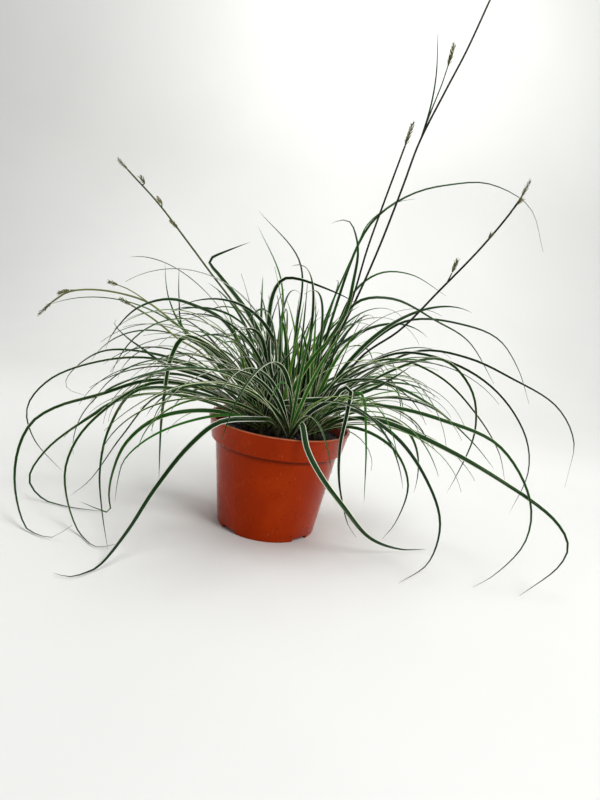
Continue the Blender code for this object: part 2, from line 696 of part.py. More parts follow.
def arched_route(root, azimuth, rise, bend, length, swerve):
    """A leaf that leaves its root at a rise and bends down, more and more, under its own weight."""
    along = np.linspace(0.0, 1.0, ROUTE_SAMPLES)
    pitch = rise - bend * along ** BEND_LATE
    heading = azimuth + swerve * along ** 2
    step = length / (ROUTE_SAMPLES - 1)
    flat = np.cos(pitch) * step
    moves = np.stack([flat * np.cos(heading), flat * np.sin(heading), np.sin(pitch) * step], axis=1)
    return np.array(root) + np.concatenate([[np.zeros(3)], np.cumsum(moves[:-1], axis=0)])


def hides_pot(route):
    """True if a leaf would hang down in front of the pot."""
    front = (np.abs(route[:, 0]) < KEPT_CLEAR_HALF_WIDTH) & (route[:, 1] < KEPT_CLEAR_FRONT)
    return bool((front & (route[:, 2] < KEPT_CLEAR_HEIGHT)).any())


def rule_leaf(number, rank, shoot, sheaths, attempt):
    """A leaf drawn by its rank; later attempts are shorter. None if it hides the pot or strays too far."""
    draw = random.Random(f"rule {SEED} {number} {shoot} {attempt}")
    place = sheaths[shoot][0]
    outward = math.atan2(place[1] - CROWN_CENTRE[1], place[0] - CROWN_CENTRE[0])
    reach = math.dist(place, CROWN_CENTRE) / CROWN_RADIUS
    spread = math.radians(HEART_SPREAD_DEG + (EDGE_SPREAD_DEG - HEART_SPREAD_DEG) * reach)
    rise = math.radians(min(draw.uniform(*rank.rise) + HEART_RISE_DEG * (1.0 - reach), STEEPEST_DEG))
    bend = math.radians(draw.uniform(*rank.bend))
    azimuth = outward + draw.uniform(-spread, spread)
    length = draw.uniform(*rank.length) * MM * SHORTER ** (attempt // SHORTEN_AFTER)
    root = root_point(sheaths[shoot], draw.uniform(*rank.drop) * MM)
    route = arched_route(root, azimuth, rise, bend, length, draw.uniform(-MOST_SWERVE, MOST_SWERVE))
    if hides_pot(route) or np.hypot(route[:, 0], route[:, 1]).max() > LEAF_REACH:
        return None
    width = draw.uniform(*rank.width) * MM
    roll, twist = draw.uniform(-MOST_ROLL, MOST_ROLL), draw.uniform(-MOST_TWIST, MOST_TWIST)
    return Leaf(shoot, route, width, roll, twist, RULE_BEND_STEP)


def leaf_orders():
    """Every leaf to grow, in order: the seen ones first, then each rank in turn over all the shoots."""
    for number, entry in enumerate(LEFT_LEAVES + RIGHT_LEAVES):
        yield SEEN_TRIES, partial(seen_leaf, number, entry)
    number = 0
    for rank in RANKS:
        for _ in range(rank.count):
            for shoot in range(SHOOTS):
                yield RULE_TRIES, partial(rule_leaf, number, rank, shoot)
            number += 1


def grow_leaves(sheaths, thicket, own_leaves, ground):
    """Grow each leaf at its first attempt that is clear of all the rest."""
    leaves = []
    for tries, make in leaf_orders():
        for attempt in range(tries):
            leaf = make(sheaths, attempt)
            if leaf and leaf_fits(leaf, thicket, own_leaves, ground):
                keep_leaf(leaf, thicket, own_leaves)
                leaves.append(leaf)
                break
    return leaves


def sheath_rings(sheath, extra=0.0):
    """The short upright stem that a shoot's leaves grow from."""
    (x, y), top = sheath
    foot = SOIL_TOP - ROOT_DEPTH
    rings = []
    for height, radius in ((foot, SHEATH_FOOT_RADIUS), (SOIL_TOP + SHEATH_FOOT_RISE, SHEATH_FOOT_RADIUS),
                           (top, SHEATH_TOP_RADIUS)):
        angle = np.linspace(0.0, math.tau, SHEATH_SIDES, endpoint=False) + math.pi / 2
        rings.append(np.stack([x + (radius + extra) * np.cos(angle), y + (radius + extra) * np.sin(angle),
                               np.full(SHEATH_SIDES, height)], axis=1))
    return rings


def make_shoot(number, sheath, leaves, material):
    """Fuse a shoot's blades to its sheath."""
    name = f"shoot_{number + 1:02d}"
    body = add_object(name, skinned(sheath_rings(sheath)))
    blades = [add_object(f"{name}_blade_{i}", skinned(*blade_rings(leaf))) for i, leaf in enumerate(leaves)]
    if blades:
        boolean(body, blades, "UNION")
    body.data.materials.append(material)
    return body


def stem_radii(route, thick, thin):
    return np.linspace(thick, thin, len(route))


def culm_parts(entry, place):
    """Routes and radii of a stem and its side stalks, and the start and end of each spike."""
    depths = [depth * MM for depth in entry.depths]
    foot = Vector((place[0], place[1], SOIL_TOP - ROOT_DEPTH))
    collar = foot + Vector((0.0, 0.0, ROOT_DEPTH + CULM_STRAIGHT))
    neck = foot + Vector((0.0, 0.0, ROOT_DEPTH + CULM_NECK))
    stem = smooth_route([foot, collar, neck, *seen_route(entry.seen, depths)])
    pick = np.linspace(0, len(stem) - 1, CULM_STATIONS).round().astype(int)
    stem = np.vstack([stem[pick[:1]], [tuple(collar)], stem[pick[1:]]])
    tubes = [(stem, stem_radii(stem, CULM_RADIUS, CULM_TIP_RADIUS))]
    spikes = [spike_ends(stem, entry.spike[1], depths[-1])]
    for stalk, tip in entry.stalks:
        start = nearest_on(stem, seen_point(*stalk[0], depths[-1]))
        points = [start, *(seen_point(*point, float(start[1]) - STALK_STAND_OFF) for point in stalk[1:])]
        route = smooth_route(points, 2 + len(stalk))
        tubes.append((route, stem_radii(route, STALK_RADIUS, STALK_TIP_RADIUS)))
        spikes.append(spike_ends(route, tip, float(route[-1][1])))
    return tubes, spikes


def nearest_on(route, point):
    """The point of a route that lies closest to another point."""
    fine = evenly(route, FINE_SAMPLES)
    return fine[np.linalg.norm(fine - np.array(point), axis=1).argmin()]


def unit(vector):
    return vector / np.linalg.norm(vector)


def spike_ends(route, seen_tip, depth):
    """A spike carries on from its stem's end, a hair's breadth off it, to where its tip is seen."""
    tip = np.array(seen_point(*seen_tip, depth))
    out = unit(route[-1] - route[-2])
    turn = math.sqrt(max(0.0, 1.0 - float(out @ unit(tip - route[-1])) ** 2))
    start = route[-1] + out * (SPIKE_GAP + turn * (SPIKE_RADIUS + SCALE_RADIUS) * SPIKE_FOOT)
    return start, tip + (start - route[-1])


def spindle(start, end, width):
    """Rings of a spike's core: slim, fullest below the middle."""
    along = np.array(SPIKE_STAGES)
    route = np.array(start)[None] + along[:, None] * (np.array(end) - np.array(start))[None]
    return route, width * np.array(SPIKE_GIRTHS)


def make_spike(name, start, end, width, scales, material):
    """A spike: a slim core with pointed scales set round it on a spiral, each pointing up and out."""
    route, radii = spindle(start, end, width)
    body = add_object(name, skinned(tube_rings(route, radii, SPIKE_SIDES), np.array(end)))
    axis = Vector(end) - Vector(start)
    length = axis.length
    axis.normalize()
    turn_to_axis = axis.to_track_quat("Z", "Y").to_matrix()
    tools = []
    for i in range(scales):
        share = (i + 0.5) / scales
        bm = bmesh.new()
        bmesh.ops.create_cone(bm, cap_ends=True, segments=3, radius1=SCALE_RADIUS, radius2=0.0,
                              depth=SCALE_LENGTH)
        bmesh.ops.translate(bm, vec=(0.0, 0.0, SCALE_LENGTH / 2), verts=bm.verts)
        bmesh.ops.rotate(bm, matrix=Matrix.Rotation(math.radians(SCALE_FLARE_DEG), 3, "Y"), verts=bm.verts)
        height = length * (SCALES_FROM + SCALES_OVER * share)
        bmesh.ops.translate(bm, vec=(width * SCALE_SEAT, 0.0, height), verts=bm.verts)
        bmesh.ops.rotate(bm, matrix=Matrix.Rotation(i * GOLDEN_ANGLE, 3, "Z"), verts=bm.verts)
        bmesh.ops.rotate(bm, matrix=turn_to_axis, verts=bm.verts)
        bmesh.ops.translate(bm, vec=start, verts=bm.verts)
        tools.append(add_object(f"{name}_scale_{i}", bm))
    boolean(body, tools, "UNION")
    body.data.materials.append(material)
    return body


def make_culm(name, tubes, bract, material):
    """Fuse a stem, its side stalks and its bract."""
    stem, *stalks = [add_object(f"{name}_{i}", skinned(tube_rings(route, radii, CULM_SIDES)))
                     for i, (route, radii) in enumerate(tubes)]
    stem.name = name
    if bract is not None:
        stalks.append(add_object(f"{name}_bract", skinned(*blade_rings(bract))))
    if stalks:
        boolean(stem, stalks, "UNION")
    stem.data.materials.append(material)
    return stem


def culm_bract(entry, stem):
    """The narrow leaf that stands at a stem's joint."""
    if entry.bract is None:
        return None
    start = nearest_on(stem, seen_point(*entry.bract[0], entry.depths[-1] * MM))
    points = [start, *(seen_point(*point, float(start[1]) + STALK_STAND_OFF) for point in entry.bract[1:])]
    return Leaf(None, smooth_route(points), BRACT_WIDTH, 0.0, 0.0, SEEN_BEND_STEP)


def main():
    clear_scene()
    leaf_green = finish_material("leaf_green", LEAF_COLOUR, 0.5)
    culm_green = finish_material("culm_green", CULM_COLOUR, 0.5)
    spike_brown = finish_material("spike_scales", SPIKE_COLOUR, 0.8)
    draw = random.Random(SEED + 1)

    pot = make_pot()
    places = shoot_places()
    sheaths = [(place, SOIL_TOP + draw.uniform(*SHEATH_RISE)) for place in places]
    stands = [(place, SHEATH_FOOT_RADIUS) for place in places]
    culm_places = []
    for entry in CULMS:
        place = roomiest_place((entry.root[0] * MM, entry.root[1] * MM), [stand[0] for stand in stands])
        culm_places.append(place)
        stands.append((place, CULM_RADIUS))
    soil = make_soil(stands)

    ground = Thicket()
    for body in (pot, soil):
        bm = bmesh.new()
        bm.from_mesh(body.data)
        corners = np.array([vertex.co for vertex in bm.verts])
        ground.add(body.name, (BVHTree.FromBMesh(bm), corners.min(axis=0), corners.max(axis=0)))
        bm.free()

    thicket, own_leaves = Thicket(), Thicket()
    for i, sheath in enumerate(sheaths):
        thicket.add(i, guard(sheath_rings(sheath, CULM_GAP)))
    for i, (entry, place) in enumerate(zip(CULMS, culm_places)):
        name = f"culm_{i + 1}"
        tubes, spikes = culm_parts(entry, place)
        bract = culm_bract(entry, tubes[0][0])
        for route, radii in tubes:
            thicket.add(name, guard(tube_rings(route, radii, CULM_SIDES, CULM_GAP)))
        if bract is not None:
            thicket.add(name, guard(*blade_rings(bract, CULM_GAP)))
        make_culm(name, tubes, bract, culm_green)
        for letter, (start, end) in zip("abcdef", spikes):
            length = np.linalg.norm(end - start)
            route, radii = spindle(start, end, SPIKE_RADIUS + SCALE_RADIUS)
            thicket.add(name, guard(tube_rings(route, radii, SPIKE_SIDES, CULM_GAP)))
            make_spike(f"spike_{i + 1}{letter}", start, end, SPIKE_RADIUS,
                       int(SCALES_PER_MM * length / MM), spike_brown)

    leaves = grow_leaves(sheaths, thicket, own_leaves, ground)
    for i, sheath in enumerate(sheaths):
        make_shoot(i, sheath, [leaf for leaf in leaves if leaf.shoot == i], leaf_green)


main()
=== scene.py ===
"""Looks of a variegated carex sedge in a nursery pot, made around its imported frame.

Metres, +Z up. The pot stands on the floor at the origin, and its front faces -Y.
"""
import json
import math
import random
from collections import namedtuple
from functools import partial

import bmesh
import bpy
import numpy as np
from mathutils import Matrix, Vector, noise
from mathutils.kdtree import KDTree
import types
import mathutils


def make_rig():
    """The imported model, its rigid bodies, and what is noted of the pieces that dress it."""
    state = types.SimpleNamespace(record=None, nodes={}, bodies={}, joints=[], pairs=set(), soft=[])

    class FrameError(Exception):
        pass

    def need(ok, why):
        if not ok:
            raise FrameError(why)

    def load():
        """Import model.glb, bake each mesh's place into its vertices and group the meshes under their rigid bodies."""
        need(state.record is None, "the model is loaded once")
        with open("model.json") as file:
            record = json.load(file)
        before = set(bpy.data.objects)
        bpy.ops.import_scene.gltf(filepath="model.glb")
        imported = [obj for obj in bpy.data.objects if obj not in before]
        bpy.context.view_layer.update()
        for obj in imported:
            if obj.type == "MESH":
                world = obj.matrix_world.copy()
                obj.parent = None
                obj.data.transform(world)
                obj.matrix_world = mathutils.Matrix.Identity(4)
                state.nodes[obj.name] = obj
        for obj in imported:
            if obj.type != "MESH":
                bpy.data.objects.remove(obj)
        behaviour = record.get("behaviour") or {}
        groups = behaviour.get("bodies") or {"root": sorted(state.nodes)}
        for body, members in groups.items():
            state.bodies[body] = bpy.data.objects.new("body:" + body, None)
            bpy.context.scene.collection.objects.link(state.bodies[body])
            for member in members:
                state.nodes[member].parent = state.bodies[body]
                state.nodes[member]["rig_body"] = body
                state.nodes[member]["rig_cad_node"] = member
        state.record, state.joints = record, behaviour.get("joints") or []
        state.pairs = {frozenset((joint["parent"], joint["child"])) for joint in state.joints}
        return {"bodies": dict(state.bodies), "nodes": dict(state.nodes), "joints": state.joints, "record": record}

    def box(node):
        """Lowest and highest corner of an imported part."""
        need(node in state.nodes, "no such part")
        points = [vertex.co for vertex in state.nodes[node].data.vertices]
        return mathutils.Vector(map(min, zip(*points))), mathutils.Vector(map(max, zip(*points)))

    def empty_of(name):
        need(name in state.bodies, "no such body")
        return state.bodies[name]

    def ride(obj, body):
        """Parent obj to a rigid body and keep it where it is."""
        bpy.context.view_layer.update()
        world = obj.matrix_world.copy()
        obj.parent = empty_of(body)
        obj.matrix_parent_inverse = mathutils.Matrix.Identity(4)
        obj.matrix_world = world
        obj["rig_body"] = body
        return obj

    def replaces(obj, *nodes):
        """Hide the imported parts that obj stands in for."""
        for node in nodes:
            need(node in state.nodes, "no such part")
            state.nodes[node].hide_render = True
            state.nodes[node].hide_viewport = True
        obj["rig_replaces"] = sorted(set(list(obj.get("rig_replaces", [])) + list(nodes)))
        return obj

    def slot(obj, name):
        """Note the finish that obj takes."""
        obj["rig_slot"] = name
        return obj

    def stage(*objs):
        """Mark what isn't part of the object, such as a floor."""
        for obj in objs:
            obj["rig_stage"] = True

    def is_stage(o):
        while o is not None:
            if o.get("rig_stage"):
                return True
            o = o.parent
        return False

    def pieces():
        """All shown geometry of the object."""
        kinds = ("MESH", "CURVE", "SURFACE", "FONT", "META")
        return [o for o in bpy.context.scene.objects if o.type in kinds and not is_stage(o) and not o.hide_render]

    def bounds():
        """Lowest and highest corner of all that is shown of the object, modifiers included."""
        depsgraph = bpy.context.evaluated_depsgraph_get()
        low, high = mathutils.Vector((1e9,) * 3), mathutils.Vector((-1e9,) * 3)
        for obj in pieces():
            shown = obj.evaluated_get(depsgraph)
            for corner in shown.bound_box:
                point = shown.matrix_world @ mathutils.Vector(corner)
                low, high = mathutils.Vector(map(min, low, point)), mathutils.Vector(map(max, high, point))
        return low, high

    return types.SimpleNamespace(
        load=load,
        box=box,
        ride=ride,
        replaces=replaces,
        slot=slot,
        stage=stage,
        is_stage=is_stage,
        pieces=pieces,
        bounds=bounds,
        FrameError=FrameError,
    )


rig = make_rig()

MM = 0.001
SIZE_FILE = "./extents.json"

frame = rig.load()
cad_low, cad_high = (np.array(corner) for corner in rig.bounds())


# Studio
# The plant stands on a white paper sweep, which curves up behind it without an edge.
# Soft lamps stand in front of it to the right and hang overhead, and a small one lights the paper behind.

EYE = Vector((0.0, -540.0, 224.0)) * MM
LOOK_DOWN_DEG = 10.7
LOOK_TURN_DEG = 1.6
HEAD_TILT_DEG = 8.8
PICTURE_MIDDLE = (300.0, 400.0)
PICTURE_HEIGHT = 800.0
PICTURE_FOCUS = 600.0
SENSOR_SIZE = 36.0

SWEEP_FRONT = -2.6
SWEEP_FOOT = 0.75
SWEEP_BEND_RADIUS = 0.55
SWEEP_BEND_STEPS = 16
SWEEP_TOP = 2.6
SWEEP_HALF_WIDTH = 3.0
PAPER_WHITE = "e9e9e6"
PAPER_CLOUD = 450.0 * MM
PAPER_WRINKLE = 140.0 * MM
ROOM_LIGHT = 0.33
COLOUR_MIX = {"data_type": "RGBA", "out": 2}
# Each lamp's name, its place and what it lights (m), its size (m) and its power (W)
LAMPS = (
    ("window_light", (0.9, -0.9, 1.25), (0.0, 0.0, 0.1), 0.7, 15.0),
    ("ceiling_light", (0.05, 0.1, 1.9), (0.0, 0.1, 0.0), 0.9, 18.0),
    ("wall_light", (0.15, 0.6, 1.15), (0.12, 1.3, 0.6), 0.5, 3.2),
)


def linear(hex_colour):
    """An sRGB hex colour as linear red, green, blue and alpha."""
    parts = [int(hex_colour[i:i + 2], 16) / 255.0 for i in (0, 2, 4)]
    return (*[p / 12.92 if p <= 0.04045 else ((p + 0.055) / 1.055) ** 2.4 for p in parts], 1.0)


def feed(material, source, socket):
    """Give a socket a value or a hex colour, or link another socket to it."""
    if isinstance(source, bpy.types.NodeSocket):
        material.node_tree.links.new(source, socket)
    else:
        socket.default_value = linear(source) if isinstance(source, str) else source


def add_node(material, kind, sockets=(), out=0, stops=(), **settings):
    """Add a shader node and return its output; its sockets are given by name or in their order."""
    made = material.node_tree.nodes.new("ShaderNode" + kind)
    for name, value in settings.items():
        setattr(made, name, value)
    for name, source in sockets.items() if isinstance(sockets, dict) else enumerate(sockets):
        feed(material, source, made.inputs[name])
    for i, (place, colour) in enumerate(stops):
        steps = made.color_ramp.elements
        step = steps[i] if i < len(steps) else steps.new(place)
        step.position = place
        step.color = linear(colour)
    return made.outputs[out]


def dress(material, **sockets):
    """Give a material's shader its values and patterns; a _ stands for a space in a socket's name."""
    shader = material.node_tree.nodes["Principled BSDF"]
    for name, value in sockets.items():
        feed(material, value, shader.inputs[name.replace("_", " ")])


def new_finish(name, **sockets):
    """A material with the constant values of its shader; its patterns are linked later."""
    material = bpy.data.materials.new(name)
    material.use_nodes = True
    dress(material, **sockets)
    return material


def eye_turn():
    """Turns a sight line from (right, forward, up) as the camera sees it to the world."""
    tilt = Matrix.Rotation(math.radians(HEAD_TILT_DEG), 3, "Y")
    nod = Matrix.Rotation(math.radians(-LOOK_DOWN_DEG), 3, "X")
    turn = Matrix.Rotation(math.radians(-LOOK_TURN_DEG), 3, "Z")
    return turn @ nod @ tilt.inverted()


def show(name, data):
    """Put a thing in the scene from its data."""
    thing = bpy.data.objects.new(name, data)
    bpy.context.scene.collection.objects.link(thing)
    return thing


def add_camera():
    camera = show("camera", bpy.data.cameras.new("camera"))
    camera.data.sensor_width = SENSOR_SIZE
    camera.data.lens = SENSOR_SIZE * PICTURE_FOCUS / PICTURE_HEIGHT
    camera.data.clip_start = 10 * MM
    facing = eye_turn() @ Matrix.Rotation(math.pi / 2, 3, "X")
    camera.matrix_world = Matrix.Translation(EYE) @ facing.to_4x4()
    bpy.context.scene.camera = camera


def add_piece(name, bm, *materials, smooth=True):
    """Turn a bmesh into a piece, in its place."""
    mesh = bpy.data.meshes.new(name)
    bm.to_mesh(mesh)
    bm.free()
    for material in materials:
        mesh.materials.append(material)
    if smooth:
        mesh.shade_smooth()
    return show(name, mesh)


def sweep_sheet():
    """The sheet of paper: its cross-section, pulled out sideways."""
    bm = bmesh.new()
    line = [(SWEEP_FRONT, 0.0)]
    for i in range(SWEEP_BEND_STEPS + 1):
        turn = math.pi / 2 * i / SWEEP_BEND_STEPS
        line.append((SWEEP_FOOT + SWEEP_BEND_RADIUS * math.sin(turn),
                     SWEEP_BEND_RADIUS * (1.0 - math.cos(turn))))
    line.append((SWEEP_FOOT + SWEEP_BEND_RADIUS, SWEEP_TOP))
    points = [bm.verts.new((-SWEEP_HALF_WIDTH, y, z)) for y, z in line]
    edges = [bm.edges.new(pair) for pair in zip(points, points[1:])]
    pulled = bmesh.ops.extrude_edge_only(bm, edges=edges)["geom"]
    bmesh.ops.translate(bm, vec=(2 * SWEEP_HALF_WIDTH, 0.0, 0.0),
                        verts=[part for part in pulled if isinstance(part, bmesh.types.BMVert)])
    return bm


def white_paper():
    """White paper, matt: a faint cloudiness and long soft wrinkles keep it from looking computed."""
    paper = new_finish("white_paper", Roughness=0.7)
    node = partial(add_node, paper)
    place = node("TexCoord", out="Object")
    cloud = node("TexNoise", {"Vector": place, "Scale": 1 / PAPER_CLOUD, "Detail": 3.0})
    wrinkle = node("TexNoise", {"Vector": place, "Scale": 1 / PAPER_WRINKLE, "Detail": 2.0,
                                "Distortion": 1.5})
    dress(paper, Base_Color=node("ValToRGB", (cloud,), stops=((0.3, "e2e2df"), (0.7, PAPER_WHITE))),
          Normal=node("Bump", {"Height": wrinkle, "Strength": 0.12, "Distance": 4 * MM}))
    return paper


def soft_light(name, place, aim, size, power):
    """A round soft lamp at a place, turned to what it lights."""
    lamp = show(name, bpy.data.lights.new(name, "AREA"))
    lamp.data.shape = "DISK"
    lamp.data.size = size
    lamp.data.energy = power
    facing = (Vector(aim) - Vector(place)).to_track_quat("-Z", "Y").to_matrix().to_4x4()
    lamp.matrix_world = Matrix.Translation(place) @ facing


add_camera()
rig.stage(add_piece("paper_sweep", sweep_sheet(), white_paper()))
bpy.context.scene.view_settings.view_transform = "Standard"
for lamp in LAMPS:
    soft_light(*lamp)
world = bpy.data.worlds.new("soft_room")
world.use_nodes = True
room = world.node_tree.nodes["Background"]
room.inputs["Color"].default_value = linear("f4f6f8")
room.inputs["Strength"].default_value = ROOM_LIGHT
bpy.context.scene.world = world


# Pot
# A round nursery pot of terracotta-coloured polypropylene, injection moulded in one piece.
# A tall collar stands out from its tapered wall, and four notches in the foot let water run off.

POT_HEIGHT = 100.0 * MM
RIM_RADIUS = 65.0 * MM
COLLAR_HEIGHT = 20.0 * MM
COLLAR_FOOT_RADIUS = 60.6 * MM
BODY_TOP_RADIUS = 56.6 * MM
BASE_RADIUS = 45.7 * MM
POT_WALL = 1.4 * MM
LIP_HEIGHT = 1.6 * MM
LIP_SET_BACK = 0.7 * MM
COLLAR_STEP_HEIGHT = 2.6 * MM
BASE_EDGE = 0.8 * MM
STANDING_RING_WIDTH = 3.2 * MM
BASE_HOLLOW = 2.6 * MM
BASE_PAD_RADIUS = 12.0 * MM
POT_FLOOR = 4.4 * MM
POT_TURN_STEPS = 144
POT_EDGE_ROUNDING = 0.28 * MM
NOTCHES = 4
NOTCH_WIDTH = 17.0 * MM
NOTCH_HEIGHT = 3.6 * MM
FIRST_NOTCH_DEG = -44.0
SHARP_EDGE = math.radians(28.0)
MERGE_WITHIN = 0.01 * MM
COLLAR_CREASE = POT_HEIGHT - COLLAR_HEIGHT - COLLAR_STEP_HEIGHT
# How far down the wall the painted shade under the collar reaches
CREASE_SHADE_HEIGHT = 5.0 * MM
LIP_RUB = 0.7 * MM


def pot_outline():
    """From the middle of the underside, out and up the outside, over the lip and down the inside."""
    collar_foot = POT_HEIGHT - COLLAR_HEIGHT
    lip = POT_HEIGHT - LIP_HEIGHT
    ring_inner = BASE_RADIUS - STANDING_RING_WIDTH
    return (
        (0.0, 0.0),
        (BASE_PAD_RADIUS, 0.0),
        (BASE_PAD_RADIUS, BASE_HOLLOW),
        (ring_inner, BASE_HOLLOW),
        (ring_inner, 0.0),
        (BASE_RADIUS - BASE_EDGE, 0.0),
        (BASE_RADIUS, BASE_EDGE),
        (BODY_TOP_RADIUS, COLLAR_CREASE),
        (COLLAR_FOOT_RADIUS, collar_foot),
        (RIM_RADIUS - LIP_SET_BACK, lip),
        (RIM_RADIUS, lip),
        (RIM_RADIUS, POT_HEIGHT),
        (RIM_RADIUS - LIP_SET_BACK - POT_WALL, POT_HEIGHT),
        (COLLAR_FOOT_RADIUS - POT_WALL, collar_foot),
        (BODY_TOP_RADIUS - POT_WALL, COLLAR_CREASE),
        (BASE_RADIUS - POT_WALL, POT_FLOOR),
        (0.0, POT_FLOOR),
    )


def turned(outline, steps):
    """Spin an outline of (radius, height) points about the upright axis into a closed body."""
    bm = bmesh.new()
    points = [bm.verts.new((radius, 0.0, height)) for radius, height in outline]
    edges = [bm.edges.new(pair) for pair in zip(points, points[1:])]
    bmesh.ops.spin(bm, geom=points + edges, cent=(0, 0, 0), axis=(0, 0, 1), angle=math.tau, steps=steps,
                   use_merge=True)
    bmesh.ops.remove_doubles(bm, verts=bm.verts, dist=MERGE_WITHIN)
    bmesh.ops.recalc_face_normals(bm, faces=bm.faces)
    return bm


def pot_plastic():
    """Moulded polypropylene: an even red-brown with a soft gloss, rubbed paler on its lip."""
    plastic = new_finish("terracotta_polypropylene", IOR=1.49, Specular_IOR_Level=0.15,
                         Specular_Tint="f0a070")
    node = partial(add_node, plastic)
    place = node("TexCoord", out="Object")
    height = node("SeparateXYZ", (place,), out="Z")
    flow = node("TexNoise", {"Vector": place, "Scale": 1 / (36 * MM), "Detail": 4.0, "Distortion": 0.6})
    colour = node("ValToRGB", (flow,), stops=((0.25, "962806"), (0.55, "a62f05"), (0.8, "b23808")))
    # Painted shade: the wall darkens towards the crease under the collar, where the collar's step would shadow it
    crease = node("MapRange", {"Value": height, "From Min": COLLAR_CREASE - CREASE_SHADE_HEIGHT,
                               "From Max": COLLAR_CREASE})
    crease = node("Math", (crease, 2.5), operation="POWER")
    under = node("Math", (height, COLLAR_CREASE + COLLAR_STEP_HEIGHT * 0.8), operation="LESS_THAN")
    crease = node("Math", (under, crease), operation="MULTIPLY")
    crease = node("Math", (crease, 0.75), operation="MULTIPLY")
    colour = node("Mix", {0: crease, 6: colour, 7: "4a1203"}, **COLOUR_MIX)
    # The lip is rubbed to a lighter, chalky orange
    lip = node("Math", (height, POT_HEIGHT - LIP_RUB), operation="GREATER_THAN")
    rubbed = node("TexNoise", {"Vector": place, "Scale": 1 / (4 * MM), "Detail": 2.0})
    rubbed = node("Math", (rubbed, 1.1), operation="MULTIPLY", use_clamp=True)
    rubbed = node("Math", (lip, rubbed), operation="MULTIPLY")
    colour = node("Mix", {0: rubbed, 6: colour, 7: "c98563"}, **COLOUR_MIX)
    # Specks of peat cling to it in patches, and are matt on the glossy plastic
    speck = node("TexNoise", {"Vector": place, "Scale": 1 / (2.4 * MM), "Detail": 3.0})
    speck = node("Math", (speck, 0.685), operation="GREATER_THAN")
    patch = node("TexNoise", {"Vector": place, "Scale": 1 / (33 * MM), "Detail": 1.0})
    patch = node("Math", (patch, 0.5), operation="GREATER_THAN")
    speck = node("Math", (speck, patch), operation="MULTIPLY")
    cover = node("Math", (speck, 0.75), operation="MULTIPLY")
    colour = node("Mix", {0: cover, 6: colour, 7: "2b1510"}, **COLOUR_MIX)
    gloss = node("Math", (flow, 0.14, 0.2), operation="MULTIPLY_ADD")
    gloss = node("Math", (speck, 0.4, gloss), operation="MULTIPLY_ADD")
    # Fine scuffs from stacking run up and down the wall
    stretched = node("Mapping", {"Vector": place, "Scale": (1.0, 1.0, 0.08)})
    scuff = node("TexNoise", {"Vector": stretched, "Scale": 1 / (1.1 * MM), "Detail": 2.0})
    scuff = node("Math", (scuff, 0.7), operation="GREATER_THAN")
    scuff = node("Math", (scuff, 0.22), operation="MULTIPLY")
    orange_peel = node("TexNoise", {"Vector": place, "Scale": 1 / (0.7 * MM), "Detail": 1.0})
    dress(plastic, Base_Color=node("Mix", {0: scuff, 6: colour, 7: "d08a6a"}, **COLOUR_MIX),
          Roughness=gloss,
          Normal=node("Bump", {"Height": orange_peel, "Strength": 0.06, "Distance": 0.1 * MM}))
    return plastic


def cut_notches(pot):
    """Cut the notches out of the standing ring."""
    cutters = bmesh.new()
    for i in range(NOTCHES):
        block = bmesh.ops.create_cube(cutters, size=1.0)["verts"]
        bmesh.ops.scale(cutters, vec=(STANDING_RING_WIDTH * 3, NOTCH_WIDTH, NOTCH_HEIGHT * 2), verts=block)
        bmesh.ops.translate(cutters, vec=(BASE_RADIUS, 0.0, 0.0), verts=block)
        turn = math.radians(FIRST_NOTCH_DEG) + math.tau * i / NOTCHES
        bmesh.ops.rotate(cutters, matrix=Matrix.Rotation(turn, 3, "Z"), verts=block)
    tool = add_piece("notch_cutter", cutters, smooth=False)
    cut = pot.modifiers.new("notches", "BOOLEAN")
    cut.operation = "DIFFERENCE"
    cut.object = tool
    layer = bpy.context.evaluated_depsgraph_get()
    layer.update()
    shaped = bpy.data.meshes.new_from_object(pot.evaluated_get(layer))
    pot.modifiers.remove(cut)
    pot.data = shaped
    bpy.data.objects.remove(tool)


def round_edges(thing, size, sharp):
    """Bevel every edge that turns more than an angle."""
    bm = bmesh.new()
    bm.from_mesh(thing.data)
    edges = [edge for edge in bm.edges if edge.is_manifold and edge.calc_face_angle() > sharp]
    bmesh.ops.bevel(bm, geom=edges, offset=size, affect="EDGES", segments=2, profile=0.5, material=-1,
                    clamp_overlap=True)
    bm.to_mesh(thing.data)
    bm.free()


pot = add_piece("nursery_pot", turned(pot_outline(), POT_TURN_STEPS), pot_plastic())
cut_notches(pot)
round_edges(pot, POT_EDGE_ROUNDING, SHARP_EDGE)
pot.data.shade_smooth()
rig.ride(pot, "root")
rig.replaces(pot, "pot")
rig.slot(pot, "pot_plastic")


# Soil
# Damp black peat potting mix, pressed round the roots to a finger's breadth below the rim.
# Its surface is lumpy and loose, with crumbs, bits of fibre and a few white grains of perlite.

SOIL_TOP = 88.5 * MM
SOIL_GAP = 0.3 * MM
SOIL_LUMP = 1.1 * MM
SOIL_CRUST = 0.9 * MM
SOIL_GRAIN = 3.5 * MM
LUMP_WAVES = (410.0, 370.0)
RIPPLE_WAVES = (930.0, 640.0, 880.0, 310.0)
SOIL_RINGS = 44
SOIL_TURN_STEPS = 120
SOIL_REACH_PAST_COLLAR_FOOT = 1.4 * MM
SOIL_EDGE = COLLAR_FOOT_RADIUS - POT_WALL - SOIL_GAP + SOIL_REACH_PAST_COLLAR_FOOT
LEVEL_WITHIN = 0.1 * MM
CRUMB_SEED = 5
CRUMBS = 900
FIBRES = 90
PERLITE_GRAINS = 46
CRUMB_ROUGHNESS = (0.75, 1.15)
CRUMB_WIDTH = (0.6, 1.0)
CRUMB_HEIGHT = (0.5, 0.9)
CRUMB_TILT = 0.4


